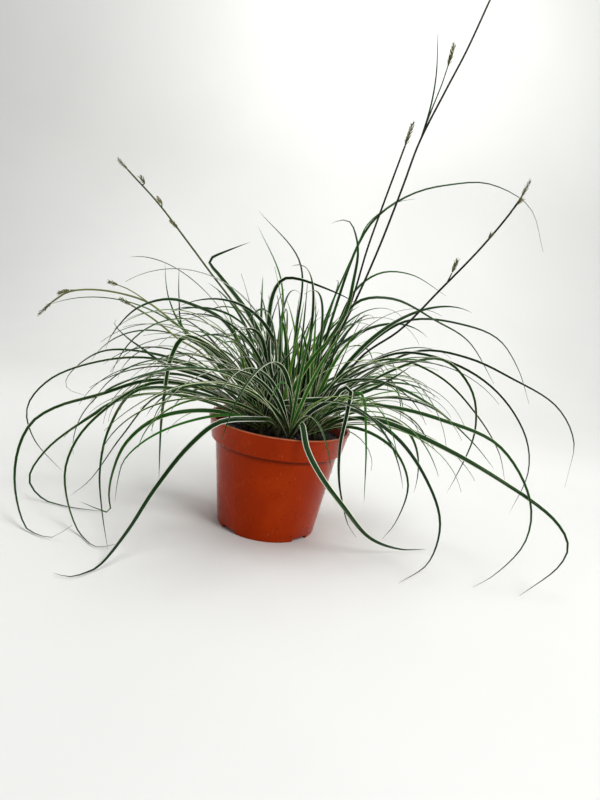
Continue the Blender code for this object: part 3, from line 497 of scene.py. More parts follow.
def soil_height(x, y):
    """Broad lumps from a few crossed waves (radians a metre), with a fine crust of crumbs over them."""
    wave = math.sin(x * LUMP_WAVES[0] + 1.0) * math.cos(y * LUMP_WAVES[1] - 0.6)
    across, along, back, aside = RIPPLE_WAVES
    ripple = math.sin(x * across + y * along) * math.cos(y * back - x * aside)
    crust = noise.fractal(Vector((x, y, 0.0)) / SOIL_GRAIN, 0.8, 2.1, 4)
    return SOIL_TOP + SOIL_LUMP * (0.6 * wave + 0.4 * ripple) + SOIL_CRUST * crust


def soil_outline():
    """The plug of peat, clear of the pot's wall, with close rings across its top."""
    clear = POT_WALL + SOIL_GAP
    top = [(SOIL_EDGE * i / SOIL_RINGS, SOIL_TOP) for i in range(SOIL_RINGS + 1)]
    return [
        (0.0, POT_FLOOR + SOIL_GAP),
        (BASE_RADIUS - clear, POT_FLOOR + SOIL_GAP),
        (BODY_TOP_RADIUS - clear, COLLAR_CREASE + SOIL_GAP),
        (COLLAR_FOOT_RADIUS - clear, POT_HEIGHT - COLLAR_HEIGHT + SOIL_GAP),
        *reversed(top),
    ]


def paint_faces(corners, slot):
    """Give the faces at some corners a material; returns them."""
    faces = list({face for vertex in corners if vertex.is_valid for face in vertex.link_faces})
    for face in faces:
        face.material_index = slot
    return faces


def scatter(bm, count, sizes, stretch, slot, draw):
    """Lay small rough lumps on the soil, each turned at random and half sunk in."""
    for _ in range(count):
        reach = (SOIL_EDGE - 2 * MM) * math.sqrt(draw.random())
        turn = draw.uniform(0.0, math.tau)
        x, y = reach * math.cos(turn), reach * math.sin(turn)
        lump = bmesh.ops.create_icosphere(bm, subdivisions=1, radius=draw.uniform(*sizes))["verts"]
        for vertex in lump:
            vertex.co *= draw.uniform(*CRUMB_ROUGHNESS)
        size = (draw.uniform(*stretch), draw.uniform(*CRUMB_WIDTH), draw.uniform(*CRUMB_HEIGHT))
        bmesh.ops.scale(bm, vec=size, verts=lump)
        turned_to = Matrix.Rotation(draw.uniform(0.0, math.tau), 3, "Z")
        tilted = Matrix.Rotation(draw.uniform(-CRUMB_TILT, CRUMB_TILT), 3, "Y")
        bmesh.ops.rotate(bm, matrix=turned_to @ tilted, verts=lump)
        bmesh.ops.translate(bm, vec=(x, y, soil_height(x, y)), verts=lump)
        paint_faces(lump, slot)


def peat():
    """Damp peat: nearly black, matt, with browner fibres and tiny wet glints."""
    material = new_finish("damp_peat")
    node = partial(add_node, material)
    grain = node("TexNoise", {"Vector": node("TexCoord", out="Object"), "Scale": 1 / (2.6 * MM),
                              "Detail": 6.0})
    brown = node("ValToRGB", (grain,), stops=((0.35, "0a0706"), (0.55, "1a120d"), (0.75, "33241a")))
    dress(material, Base_Color=brown, Roughness=node("Math", (grain, -0.5, 1.05), operation="MULTIPLY_ADD"),
          Normal=node("Bump", {"Height": grain, "Strength": 0.8, "Distance": 0.6 * MM}))
    return material


def bark_fibre():
    """Shredded bark and root fibre: dry brown, with a fine grain."""
    material = new_finish("bark_fibre", Roughness=0.8)
    node = partial(add_node, material)
    grain = node("TexNoise", {"Vector": node("TexCoord", out="Object"), "Scale": 1 / (1.4 * MM),
                              "Detail": 3.0})
    dress(material, Base_Color=node("ValToRGB", (grain,), stops=((0.3, "21150d"), (0.7, "4a3322"))))
    return material


def perlite():
    """Expanded perlite: white, chalky, and greyed by the peat in its pores."""
    material = new_finish("perlite", Roughness=0.9)
    node = partial(add_node, material)
    pores = node("TexVoronoi", {"Vector": node("TexCoord", out="Object"), "Scale": 1 / (0.6 * MM)})
    dress(material, Base_Color=node("ValToRGB", (pores,), stops=((0.1, "8d8880"), (0.5, "d9d6cf"))),
          Normal=node("Bump", {"Height": pores, "Strength": 0.5, "Distance": 0.2 * MM}))
    return material


soil_mesh = turned(soil_outline(), SOIL_TURN_STEPS)
for vertex in soil_mesh.verts:
    if abs(vertex.co.z - SOIL_TOP) < LEVEL_WITHIN:
        vertex.co.z = soil_height(vertex.co.x, vertex.co.y)
damp_peat = peat()
soil = add_piece("peat_soil", soil_mesh, damp_peat)
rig.ride(soil, "root")
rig.replaces(soil, "soil")
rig.slot(soil, "peat")

crumb_mesh = bmesh.new()
crumb_draw = random.Random(CRUMB_SEED)
scatter(crumb_mesh, CRUMBS, (0.4 * MM, 1.3 * MM), (0.8, 1.6), 0, crumb_draw)
scatter(crumb_mesh, FIBRES, (0.3 * MM, 0.5 * MM), (5.0, 9.0), 1, crumb_draw)
scatter(crumb_mesh, PERLITE_GRAINS, (0.35 * MM, 0.9 * MM), (0.9, 1.3), 2, crumb_draw)
crumbs = add_piece("soil_crumbs", crumb_mesh, damp_peat, bark_fibre(), perlite(), smooth=False)
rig.ride(crumbs, "root")
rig.slot(crumbs, "peat")


# Leafy shoots
# Each shoot is a short stem of wrapped leaf bases with narrow, arching blades growing out of it.
# A blade is leathery and folded along its middle, deep green with cream margins, and ends hair-fine.

SEED = 11
CROWN_CENTRE = (3.0 * MM, 3.0 * MM)
CROWN_RADIUS = 34.0 * MM
SHOOTS = 28
SHEATH_FOOT_RADIUS = 2.4 * MM
SHEATH_TOP_RADIUS = 1.7 * MM
SHEATH_RISE = (9.0 * MM, 16.0 * MM)
SHEATH_SIDES = 18
ROOT_DEPTH = 8.0 * MM
GOLDEN_ANGLE = math.pi * (3.0 - math.sqrt(5.0))

BLADE_ROOT_WIDTH = 0.62
FULL_WIDTH_AT = 0.22
TAPER_POWER = 2.3
SURFACE_CLEARANCE = 1.6 * MM
ROUTE_SAMPLES = 72
SPAN_SAMPLES = 24
BLADE_STEP = 6.0 * MM
FEWEST_STEPS = 10
MOST_STEPS = 40
WIDE_BLADE = 3.2 * MM
WIDE_COLUMNS = 4
NARROW_COLUMNS = 2
FOLD_DEPTH = 0.17
BLADE_THICKNESS = 0.28 * MM
RIPPLE = 0.05
RIPPLES = 3.0
YOUNG_WIDTH = 2.8 * MM
YOUNG_LENGTH = 120.0 * MM
SAME_PLACE = 0.05 * MM
BLADE_LAYERS = ("across", "along", "share", "tone", "width")
STREAKS_ACROSS = 11.0
STREAKS_PER_MM = 0.012
STREAK_SHIFT = 37.0
VEIN_TURNS_PER_MM = 17.0
NARROW_BLADE_MM = 1.0
BROAD_BLADE_MM = 4.4
NARROW_MARGIN_FROM = 0.98
BROAD_MARGIN_FROM = 0.71
MARGIN_BLUR = 0.1
LEAF_SEED = 100
SHEATH_SHARE = 0.9
SHEATH_CREASE = 0.09

# Each leaf that can be told apart: where its root stands in the crown (mm), its width (mm), its depths
# along its length (mm, + away from the eye), and the points where it is seen (across, down in the picture)
SeenLeaf = namedtuple("SeenLeaf", "root width depths seen")
LEFT_LEAVES = (
    ((-22, -8), 4.0, (-20, -90), ((153, 380), (98, 395), (56, 407), (32, 422), (18, 450), (15, 488),
     (28, 530), (50, 538), (72, 525))),
    ((-26, -4), 3.2, (-10, -31), ((149, 384), (98, 412), (46, 450), (29, 480), (46, 501), (70, 507),
     (109, 512))),
    ((-18, -14), 3.4, (-30, -88), ((153, 383), (87, 426), (66, 465), (67, 499), (80, 534), (97, 547),
     (115, 544))),
    ((-12, -20), 3.4, (-45, -105), ((136, 391), (109, 429), (100, 471), (102, 510), (108, 550))),
    ((-20, -20), 4.0, (-55, -60), ((160, 417), (126, 443), (112, 475), (109, 496), (110, 512), (98, 509),
     (79, 501))),
    ((-6, -26), 2.4, (-65, -75), ((160, 432), (125, 459), (118, 480), (115, 502))),
    ((-28, 0), 2.2, (0, -20), ((160, 395), (122, 436), (90, 480), (70, 496))),
    ((0, -30), 4.8, (-50, -85, -150), ((260, 419), (220, 422), (190, 445), (154, 490), (126, 533), (95, 569),
     (70, 577), (53, 573))),
    ((-12, 4), 6.4, (-10, -60), ((228, 364), (205, 344), (184, 337), (171, 358), (165, 390), (161, 426),
     (159, 479))),
    ((-18, 8), 4.6, (5, 0), ((224, 321), (196, 306), (169, 299), (136, 309), (110, 338), (106, 349))),
    ((-28, 6), 3.8, (10, 15), ((166, 365), (143, 349), (124, 335), (114, 323), (117, 318))),
    ((-20, 12), 2.6, (25, 35), ((183, 328), (169, 299), (166, 283), (165, 263))),
    ((-14, 14), 2.6, (28, 40), ((184, 331), (179, 297), (179, 265))),
    ((-4, 6), 6.8, (5, 10), ((275, 375), (250, 316), (220, 276), (209, 262), (211, 258), (224, 252),
     (250, 242))),
    ((-30, 10), 3.0, (30, 45), ((150, 353), (100, 352), (67, 378), (67, 388), (84, 395))),
    ((-28, 14), 3.0, (20, 25), ((150, 358), (96, 362), (49, 380), (27, 408), (34, 439), (64, 473))),
)
RIGHT_LEAVES = (
    ((30, 6), 3.2, (15, 20), ((419, 351), (468, 358), (511, 378), (557, 407), (574, 443), (565, 487))),
    ((26, 12), 3.0, (25, 35), ((407, 321), (468, 326), (499, 340), (518, 369), (529, 404))),
    ((28, 2), 3.4, (5, 0), ((399, 353), (457, 365), (500, 395), (526, 438), (528, 473), (509, 514))),
    ((32, -4), 3.6, (-8, -12), ((440, 359), (471, 389), (475, 431), (454, 480), (446, 494))),
    ((30, 0), 3.0, (0, -6), ((390, 359), (440, 377), (476, 414), (499, 453), (505, 483))),
    ((20, -12), 3.2, (-20, -30), ((330, 384), (382, 383), (426, 402), (473, 443), (494, 469))),
    ((16, -22), 4.0, (-35, -77), ((330, 405), (390, 407), (442, 420), (499, 446), (530, 501), (525, 542),
     (494, 575), (473, 587))),
    ((32, -14), 5.2, (-35, -60, -81), ((376, 420), (426, 439), (495, 477), (556, 522), (568, 547),
     (559, 566), (519, 596))),
    ((26, -22), 3.8, (-50, -89), ((349, 409), (395, 436), (426, 479), (440, 523), (428, 563), (399, 583))),
    ((34, -10), 3.0, (-30, -40), ((366, 431), (395, 451), (408, 485), (395, 523), (382, 539))),
    ((20, -28), 4.8, (-48, -62, -78), ((334, 398), (343, 388), (350, 389), (348, 408), (340, 446),
     (339, 480), (343, 506), (348, 525), (356, 537))),
    ((28, -18), 2.6, (-60, -70), ((361, 393), (366, 438), (364, 504))),
    ((8, -32), 5.2, (-60, -78, -74, -45, -12), ((302, 424), (307, 449), (322, 478), (342, 505), (370, 538),
     (400, 549), (426, 549))),
    ((-6, -14), 5.4, (-32, -50), ((278, 405), (302, 401), (347, 397), (379, 386), (401, 373), (413, 365))),
    ((-2, -4), 5.8, (-4, -14), ((270, 370), (272, 298), (282, 280), (293, 278), (341, 295), (357, 304))),
    ((6, 2), 2.6, (8, 10), ((300, 263), (259, 211))),
    ((-4, 12), 2.4, (14, 20), ((281, 280), (258, 226))),
    ((14, 4), 4.6, (8, 10), ((346, 312), (353, 283), (358, 253), (356, 236), (350, 222), (342, 220),
     (330, 224))),
    ((20, 14), 2.6, (20, 60), ((361, 239), (380, 214), (415, 193), (449, 185), (489, 184), (530, 208),
     (543, 252))),
    ((14, 10), 2.2, (14, 24), ((358, 245), (368, 224), (396, 203), (415, 199))),
    ((20, 18), 3.0, (28, 40), ((355, 291), (381, 273), (412, 275), (446, 296))),
    ((26, 6), 3.4, (12, 20), ((356, 303), (393, 299), (436, 321), (468, 341), (494, 384))),
)

# The other leaves of a shoot, drawn by rule: how many, their rise from the level and the angle that they
# bend through (degrees), their length and width, and how far below the sheath's top they are rooted (mm)
Rank = namedtuple("Rank", "count rise bend length width drop")
RANKS = (
    Rank(2, (66, 86), (10, 60), (70, 145), (2.4, 4.8), (0.6, 1.6)),
    Rank(3, (46, 70), (80, 140), (130, 230), (2.4, 4.4), (1.8, 5.0)),
    Rank(2, (18, 46), (60, 130), (120, 250), (2.6, 4.8), (5.0, 8.0)),
)
RULE_TRIES = 90
SHORTEN_AFTER = 15
SHORTER = 0.88
LEAF_REACH = 215.0 * MM
BEND_LATE = 1.6
MOST_SWERVE = 0.5
MOST_ROLL = 0.78
MOST_TWIST = 0.9
HEART_RISE_DEG = 14.0
STEEPEST_DEG = 88.0
HEART_SPREAD_DEG = 180.0
EDGE_SPREAD_DEG = 75.0
KEPT_CLEAR_HALF_WIDTH = 75.0 * MM
KEPT_CLEAR_FRONT = -51.0 * MM
KEPT_CLEAR_HEIGHT = 108.0 * MM

SEEN_DROP = (2.5, 8.0)
SEEN_ROLL_DEG = 58.0
SEEN_TRIES = 180
STRAY_STEP = 0.25 * MM
HIDDEN_MIDDLE = 0.45
HIDDEN_ARCH = 0.12
HIDDEN_LENGTH = 25.0 * MM


def shoot_places():
    """The shoots stand on a sunflower spiral, which spaces them evenly over the crown."""
    places = []
    for i in range(SHOOTS):
        reach = CROWN_RADIUS * math.sqrt((i + 0.5) / SHOOTS)
        turn = i * GOLDEN_ANGLE
        places.append((CROWN_CENTRE[0] + reach * math.cos(turn), CROWN_CENTRE[1] + reach * math.sin(turn)))
    return places


def sight_line(across, down):
    """Direction from the eye through a point of the picture."""
    return eye_turn() @ Vector(((across - PICTURE_MIDDLE[0]) / PICTURE_FOCUS, 1.0,
                                (PICTURE_MIDDLE[1] - down) / PICTURE_FOCUS))


def seen_point(across, down, depth):
    """The point on a sight line at a depth, or where the line meets the surface the pot stands on."""
    ray = sight_line(across, down)
    reach = (depth - EYE.y) / ray.y
    if EYE.z + ray.z * reach < SURFACE_CLEARANCE:
        reach = (SURFACE_CLEARANCE - EYE.z) / ray.z
    return EYE + ray * reach


def seen_route(seen, depths):
    """Place a row of seen points at depths that change evenly along it."""
    steps = [0.0]
    for here, there in zip(seen, seen[1:]):
        steps.append(steps[-1] + math.dist(here, there))
    along = np.array(steps) / steps[-1]
    depth = np.interp(along, np.linspace(0.0, 1.0, len(depths)), depths)
    return [seen_point(*point, float(y)) for point, y in zip(seen, depth)]


def smooth_route(points, count=ROUTE_SAMPLES):
    """A smooth curve through the points, as evenly spaced samples."""
    nodes = np.array([tuple(p) for p in points])
    chord = np.sqrt(np.linalg.norm(np.diff(nodes, axis=0), axis=1))
    knots = np.concatenate([[0.0], np.cumsum(np.maximum(chord, 1e-6))])
    slopes = np.gradient(nodes, knots, axis=0)
    samples = []
    for i in range(len(nodes) - 1):
        span = knots[i + 1] - knots[i]
        t = np.linspace(0.0, 1.0, SPAN_SAMPLES, endpoint=(i == len(nodes) - 2))[:, None]
        samples.append((2 * t**3 - 3 * t**2 + 1) * nodes[i] + (t**3 - 2 * t**2 + t) * span * slopes[i]
                       + (3 * t**2 - 2 * t**3) * nodes[i + 1] + (t**3 - t**2) * span * slopes[i + 1])
    return evenly(np.concatenate(samples), count)


def evenly(route, count):
    """Resample a route at even steps along its length."""
    length = np.concatenate([[0.0], np.cumsum(np.linalg.norm(np.diff(route[:, :3], axis=0), axis=1))])
    at = np.linspace(0.0, length[-1], count)
    return np.stack([np.interp(at, length, column) for column in route.T], axis=1)


def blade_width(along, width):
    """A blade widens a little from its root, stays wide, and runs out to a fine tip."""
    root = BLADE_ROOT_WIDTH + (1.0 - BLADE_ROOT_WIDTH) * np.minimum(1.0, along / FULL_WIDTH_AT)
    return width * root * (1.0 - along ** TAPER_POWER)


def frames(route, roll=0.0, twist=0.0):
    """Side and up of a blade at each sample of its route, with the side carried along."""
    heading = np.gradient(route, axis=0)
    heading /= np.linalg.norm(heading, axis=1)[:, None]
    reach = route[-1] - route[0]
    side = np.array([-reach[1], reach[0], 0.0])
    side /= max(np.linalg.norm(side), 1e-9)
    sides = []
    for direction in heading:
        side = side - direction * (side @ direction)
        side /= np.linalg.norm(side)
        sides.append(side)
    sides = np.array(sides)
    ups = np.cross(heading, -sides)
    turn = (roll + np.linspace(0.0, twist, len(route)))[:, None]
    return sides * np.cos(turn) + ups * np.sin(turn), ups * np.cos(turn) - sides * np.sin(turn)


Leaf = namedtuple("Leaf", "shoot route width roll twist")


def root_point(sheath, drop):
    """A point inside a sheath, a little below its top."""
    place, top = sheath
    return Vector((place[0], place[1], top - drop))


def nearest_shoot(entry, sheaths):
    near = (entry.root[0] * MM, entry.root[1] * MM)
    return min(range(len(sheaths)), key=lambda i: math.dist(sheaths[i][0], near))


def roll_to_eye(route):
    """The way to roll a leaf so that it turns its face to the eye rather than its edge."""
    sight = route - np.array(EYE)
    rolls = (-math.radians(SEEN_ROLL_DEG), math.radians(SEEN_ROLL_DEG))
    return max(rolls, key=lambda roll: abs((frames(route, roll)[1] * sight).sum(axis=1)).mean())


def seen_leaf(number, entry, sheaths, attempt):
    """A leaf through the points where it is seen; each later attempt strays further in depth."""
    draw = random.Random(f"seen {SEED} {number} {attempt}")
    shoot = nearest_shoot(entry, sheaths)
    stray = attempt * STRAY_STEP
    shift = draw.uniform(-1.0, 1.0) * stray
    seen = seen_route(entry.seen, [depth * MM + shift for depth in entry.depths])
    root = root_point(sheaths[shoot], draw.uniform(*SEEN_DROP) * MM)
    gap = seen[0] - root
    middle = root + gap * HIDDEN_MIDDLE + Vector((0.0, 0.0, HIDDEN_ARCH * gap.length))
    middle += Vector([draw.uniform(-1.0, 1.0) * stray for _ in range(3)])
    points = [root, middle, *seen] if gap.length > HIDDEN_LENGTH else [root, *seen]
    route = smooth_route(points)
    route[:, 2] = np.maximum(route[:, 2], SURFACE_CLEARANCE)
    return Leaf(shoot, route, entry.width * MM, roll_to_eye(route), 0.0)


def arched_route(root, azimuth, rise, bend, length, swerve):
    """A leaf that leaves its root at a rise and bends down, more and more, under its own weight."""
    along = np.linspace(0.0, 1.0, ROUTE_SAMPLES)
    pitch = rise - bend * along ** BEND_LATE
    heading = azimuth + swerve * along ** 2
    step = length / (ROUTE_SAMPLES - 1)
    flat = np.cos(pitch) * step
    moves = np.stack([flat * np.cos(heading), flat * np.sin(heading), np.sin(pitch) * step], axis=1)
    return np.array(root) + np.concatenate([[np.zeros(3)], np.cumsum(moves[:-1], axis=0)])


def hides_pot(route):
    """True if a leaf would hang down in front of the pot."""
    front = (np.abs(route[:, 0]) < KEPT_CLEAR_HALF_WIDTH) & (route[:, 1] < KEPT_CLEAR_FRONT)
    return bool((front & (route[:, 2] < KEPT_CLEAR_HEIGHT)).any())


def rule_leaf(number, rank, shoot, sheaths, attempt):
    """A leaf drawn by its rank; later attempts are shorter. None if it hides the pot or strays too far."""
    draw = random.Random(f"rule {SEED} {number} {shoot} {attempt}")
    place = sheaths[shoot][0]
    outward = math.atan2(place[1] - CROWN_CENTRE[1], place[0] - CROWN_CENTRE[0])
    reach = math.dist(place, CROWN_CENTRE) / CROWN_RADIUS
    spread = math.radians(HEART_SPREAD_DEG + (EDGE_SPREAD_DEG - HEART_SPREAD_DEG) * reach)
    rise = math.radians(min(draw.uniform(*rank.rise) + HEART_RISE_DEG * (1.0 - reach), STEEPEST_DEG))
    bend = math.radians(draw.uniform(*rank.bend))
    azimuth = outward + draw.uniform(-spread, spread)
    length = draw.uniform(*rank.length) * MM * SHORTER ** (attempt // SHORTEN_AFTER)
    root = root_point(sheaths[shoot], draw.uniform(*rank.drop) * MM)
    route = arched_route(root, azimuth, rise, bend, length, draw.uniform(-MOST_SWERVE, MOST_SWERVE))
    if hides_pot(route) or np.hypot(route[:, 0], route[:, 1]).max() > LEAF_REACH:
        return None
    width = draw.uniform(*rank.width) * MM
    roll, twist = draw.uniform(-MOST_ROLL, MOST_ROLL), draw.uniform(-MOST_TWIST, MOST_TWIST)
    return Leaf(shoot, route, width, roll, twist)


def leaf_orders():
    """Every leaf to grow, in order: the seen ones first, then each rank in turn over all the shoots."""
    for number, entry in enumerate(LEFT_LEAVES + RIGHT_LEAVES):
        yield SEEN_TRIES, partial(seen_leaf, number, SeenLeaf(*entry))
    number = 0
    for rank in RANKS:
        for _ in range(rank.count):
            for shoot in range(SHOOTS):
                yield RULE_TRIES, partial(rule_leaf, number, rank, shoot)
            number += 1


def grown_leaves(sheaths, grown):
    """Each leaf at the attempt that grew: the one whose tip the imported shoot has."""
    for tries, make in leaf_orders():
        for attempt in range(tries):
            leaf = make(sheaths, attempt)
            if leaf and grown[leaf.shoot].find(leaf.route[-1])[2] < SAME_PLACE:
                yield leaf
                break


def corner_tree(node):
    """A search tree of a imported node's corners."""
    corners = frame["nodes"][node].data.vertices
    tree = KDTree(len(corners))
    for i, corner in enumerate(corners):
        tree.insert(corner.co, i)
    tree.balance()
    return tree


def value_layers(bm, names):
    """Layers of values at a mesh's corners, which its materials read by name."""
    return {name: bm.verts.layers.float.new(name) for name in names}


def add_blade(bm, layers, leaf, draw, slot=0):
    """One blade: a grid folded along its middle and bent along its run, then given its thickness."""
    length = np.linalg.norm(np.diff(leaf.route, axis=0), axis=1).sum()
    steps = int(min(MOST_STEPS, max(FEWEST_STEPS, length / BLADE_STEP)))
    columns = WIDE_COLUMNS if leaf.width > WIDE_BLADE else NARROW_COLUMNS
    run = evenly(np.hstack([leaf.route, *frames(leaf.route, leaf.roll, leaf.twist)]), steps + 1)
    half = blade_width(np.linspace(0.0, 1.0, steps + 1), leaf.width) / 2
    youth = min(1.0, YOUNG_WIDTH / leaf.width) * min(1.0, YOUNG_LENGTH / length)
    tone = youth * draw.random()
    phase = draw.uniform(0.0, math.tau)
    grid = bmesh.ops.create_grid(bm, x_segments=columns, y_segments=steps, size=0.5)["verts"]
    for vertex in grid:
        from_middle = 2.0 * vertex.co.x
        along = vertex.co.y + 0.5
        i = int(round(along * steps))
        middle, side, up = np.split(run[i], 3)
        fold = FOLD_DEPTH * 2.0 * (abs(from_middle) - 1.0)
        ripple = RIPPLE * from_middle * math.sin(phase + RIPPLES * math.tau * along)
        point = middle + half[i] * (side * from_middle + up * (fold + ripple))
        vertex.co = np.clip(point, blade_low, blade_high)
        values = (from_middle / 2.0 + 0.5, along * length / MM, along, tone, 2.0 * half[i] / MM)
        for name, value in zip(BLADE_LAYERS, values):
            vertex[layers[name]] = value
    bmesh.ops.remove_doubles(bm, verts=grid, dist=MERGE_WITHIN)
    faces = paint_faces(grid, slot)
    for face in faces:
        face.normal_update()
    bmesh.ops.solidify(bm, geom=faces, thickness=BLADE_THICKNESS)


def add_sheath(bm, sheath, draw):
    """The stem of wrapped leaf bases: a slim taper with a few folds round it."""
    (x, y), top = sheath
    low = SOIL_TOP - ROOT_DEPTH
    folds = draw.choice((3, 4, 5))
    phase = draw.uniform(0.0, math.tau)
    stem = bmesh.ops.create_cone(bm, cap_ends=True, segments=SHEATH_SIDES, depth=top - low,
                                 radius1=SHEATH_FOOT_RADIUS * SHEATH_SHARE,
                                 radius2=SHEATH_TOP_RADIUS * SHEATH_SHARE)["verts"]
    for vertex in stem:
        turn = math.atan2(vertex.co.y, vertex.co.x)
        crease = 1.0 + SHEATH_CREASE * math.sin(folds * turn + phase)
        vertex.co.x *= crease
        vertex.co.y *= crease
    bmesh.ops.translate(bm, vec=(x, y, (low + top) / 2), verts=stem)
    paint_faces(stem, 1)


def leaf_blade():
    """A living sedge leaf: leathery and satin, deep green with cream margins and fine parallel veins."""
    leaf = new_finish("variegated_sedge_leaf", IOR=1.42, Specular_IOR_Level=0.2)
    node = partial(add_node, leaf)
    across, along, share, tone, width = (node("Attribute", attribute_name=name, out="Fac")
                                         for name in BLADE_LAYERS)
    edge = node("Math", (across, 2.0, -1.0), operation="MULTIPLY_ADD")
    edge = node("Math", (edge,), operation="ABSOLUTE")
    # Streaks follow the veins: fine across the blade and long down it
    streak = node("CombineXYZ", (node("Math", (across, STREAKS_ACROSS), operation="MULTIPLY"),
                                 node("Math", (along, STREAKS_PER_MM), operation="MULTIPLY"),
                                 node("Math", (tone, STREAK_SHIFT), operation="MULTIPLY")))
    streak = node("TexNoise", {"Vector": streak, "Scale": 1.0, "Detail": 2.0})
    green = node("ValToRGB", (tone,), stops=((0.0, "051a09"), (0.3, "0f3812"), (0.6, "2a6a18"),
                                             (1.0, "72a020")))
    lit = node("Math", (streak, 0.9, -0.25), operation="MULTIPLY_ADD", use_clamp=True)
    lit = node("Math", (lit, 0.35), operation="MULTIPLY")
    green = node("Mix", {0: lit, 6: green, 7: "4a9020"}, **COLOUR_MIX)
    cream = node("ValToRGB", (tone,), stops=((0.0, "fafbf0"), (0.3, "eef5c8"), (1.0, "cce678")))
    # The margin is broad on a broad blade and a mere line on a narrow one; its inner edge wanders
    inner = node("MapRange", {"Value": width, "From Min": NARROW_BLADE_MM, "From Max": BROAD_BLADE_MM,
                              "To Min": NARROW_MARGIN_FROM, "To Max": BROAD_MARGIN_FROM})
    wander = node("Math", (streak, 0.24, -0.12), operation="MULTIPLY_ADD")
    inner = node("Math", (inner, wander), operation="ADD")
    margin = node("MapRange", {"Value": edge, "From Min": inner,
                               "From Max": node("Math", (inner, MARGIN_BLUR), operation="ADD")})
    # Here and there a cream streak strays into the green
    stray = node("Math", (streak, 0.7), operation="GREATER_THAN")
    stray = node("Math", (stray, 0.3), operation="MULTIPLY")
    margin = node("Math", (margin, stray), operation="MAXIMUM")
    colour = node("Mix", {0: margin, 6: green, 7: cream}, **COLOUR_MIX)
    # The foot of a blade is blanched, and its very tip dries to straw
    blanched = node("MapRange", {"Value": share, "From Min": 0.14, "From Max": 0.0, "To Max": 0.35})
    colour = node("Mix", {0: blanched, 6: colour, 7: "8fa050"}, **COLOUR_MIX)
    dried = node("MapRange", {"Value": share, "From Min": 0.955, "From Max": 1.0, "To Max": 0.7})
    colour = node("Mix", {0: dried, 6: colour, 7: "8a7446"}, **COLOUR_MIX)
    # Veins about 0.35 mm apart stand up a little from the surface
    veins = node("Math", (across, width), operation="MULTIPLY")
    veins = node("Math", (veins, VEIN_TURNS_PER_MM), operation="MULTIPLY")
    veins = node("Math", (veins,), operation="SINE")
    dress(leaf, Base_Color=colour, Roughness=node("Math", (streak, 0.2, 0.34), operation="MULTIPLY_ADD"),
          Normal=node("Bump", {"Height": veins, "Strength": 0.35, "Distance": 0.05 * MM}))
    return leaf


def leaf_base():
    """Old leaf bases: papery, dull green above and brown where they enter the peat."""
    base = new_finish("papery_leaf_base", Roughness=0.7)
    node = partial(add_node, base)
    place = node("TexCoord", out="Object")
    rise = node("MapRange", {"Value": node("SeparateXYZ", (place,), out="Z"), "From Min": SOIL_TOP - 1 * MM,
                             "From Max": SOIL_TOP + 14 * MM})
    colour = node("ValToRGB", (rise,), stops=((0.0, "1c120a"), (0.3, "3f3a1e"), (0.7, "5c6a30"),
                                              (1.0, "3d5a22")))
    stretched = node("Mapping", {"Vector": place, "Scale": (1.0, 1.0, 0.1)})
    fibre = node("TexNoise", {"Vector": stretched, "Scale": 1 / (0.8 * MM), "Detail": 3.0})
    brown = node("Math", (fibre, 0.5), operation="MULTIPLY")
    dress(base, Base_Color=node("Mix", {0: brown, 6: colour, 7: "4a3a20"}, **COLOUR_MIX),
          Normal=node("Bump", {"Height": fibre, "Strength": 0.5, "Distance": 0.2 * MM}))
    return base


blade_low = cad_low + BLADE_THICKNESS
blade_high = cad_high - BLADE_THICKNESS
rise_draw = random.Random(SEED + 1)
sheaths = [(place, SOIL_TOP + rise_draw.uniform(*SHEATH_RISE)) for place in shoot_places()]
shoot_nodes = [f"shoot_{i + 1:02d}" for i in range(SHOOTS)]
leaves = list(grown_leaves(sheaths, [corner_tree(node) for node in shoot_nodes]))
blade_material, base_material = leaf_blade(), leaf_base()
for i, (node, sheath) in enumerate(zip(shoot_nodes, sheaths)):
    leaf_draw = random.Random(LEAF_SEED + i)
    shoot_mesh = bmesh.new()
    layers = value_layers(shoot_mesh, BLADE_LAYERS)
    for leaf in leaves:
        if leaf.shoot == i:
            add_blade(shoot_mesh, layers, leaf, leaf_draw)
    add_sheath(shoot_mesh, sheath, leaf_draw)
    shoot = add_piece("leafy_" + node, shoot_mesh, blade_material, base_material)
    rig.ride(shoot, "root")
    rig.replaces(shoot, node)
    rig.slot(shoot, "leaf")


# Flower stems
# Thin, tough stems, three-sided as all sedges have them, stand in the soil among the shoots.
# Their fine side stalks each carry a spike, and one has a narrow leaf at its joint.

CULM_RADIUS = 1.05 * MM
CULM_TIP_RADIUS = 0.78 * MM
CULM_STRAIGHT = 4.0 * MM
CULM_NECK = 16.0 * MM
STALK_STAND_OFF = 3.2 * MM
STALK_RADIUS = 0.6 * MM
STALK_TIP_RADIUS = 0.45 * MM
BRACT_WIDTH = 1.6 * MM
SPIKE_GAP = 0.3 * MM
SPIKE_RADIUS = 1.45 * MM
SCALE_RADIUS = 0.95 * MM
SPIKE_FOOT = 0.45
FINE_SAMPLES = 400
STEM_SIDES = 12
STEM_CORNERS = 0.14
STEM_STEP = 7.0 * MM
STEM_YOUTH = (0.6, 0.9, 0.85, 0.08, 0.12, 0.05)

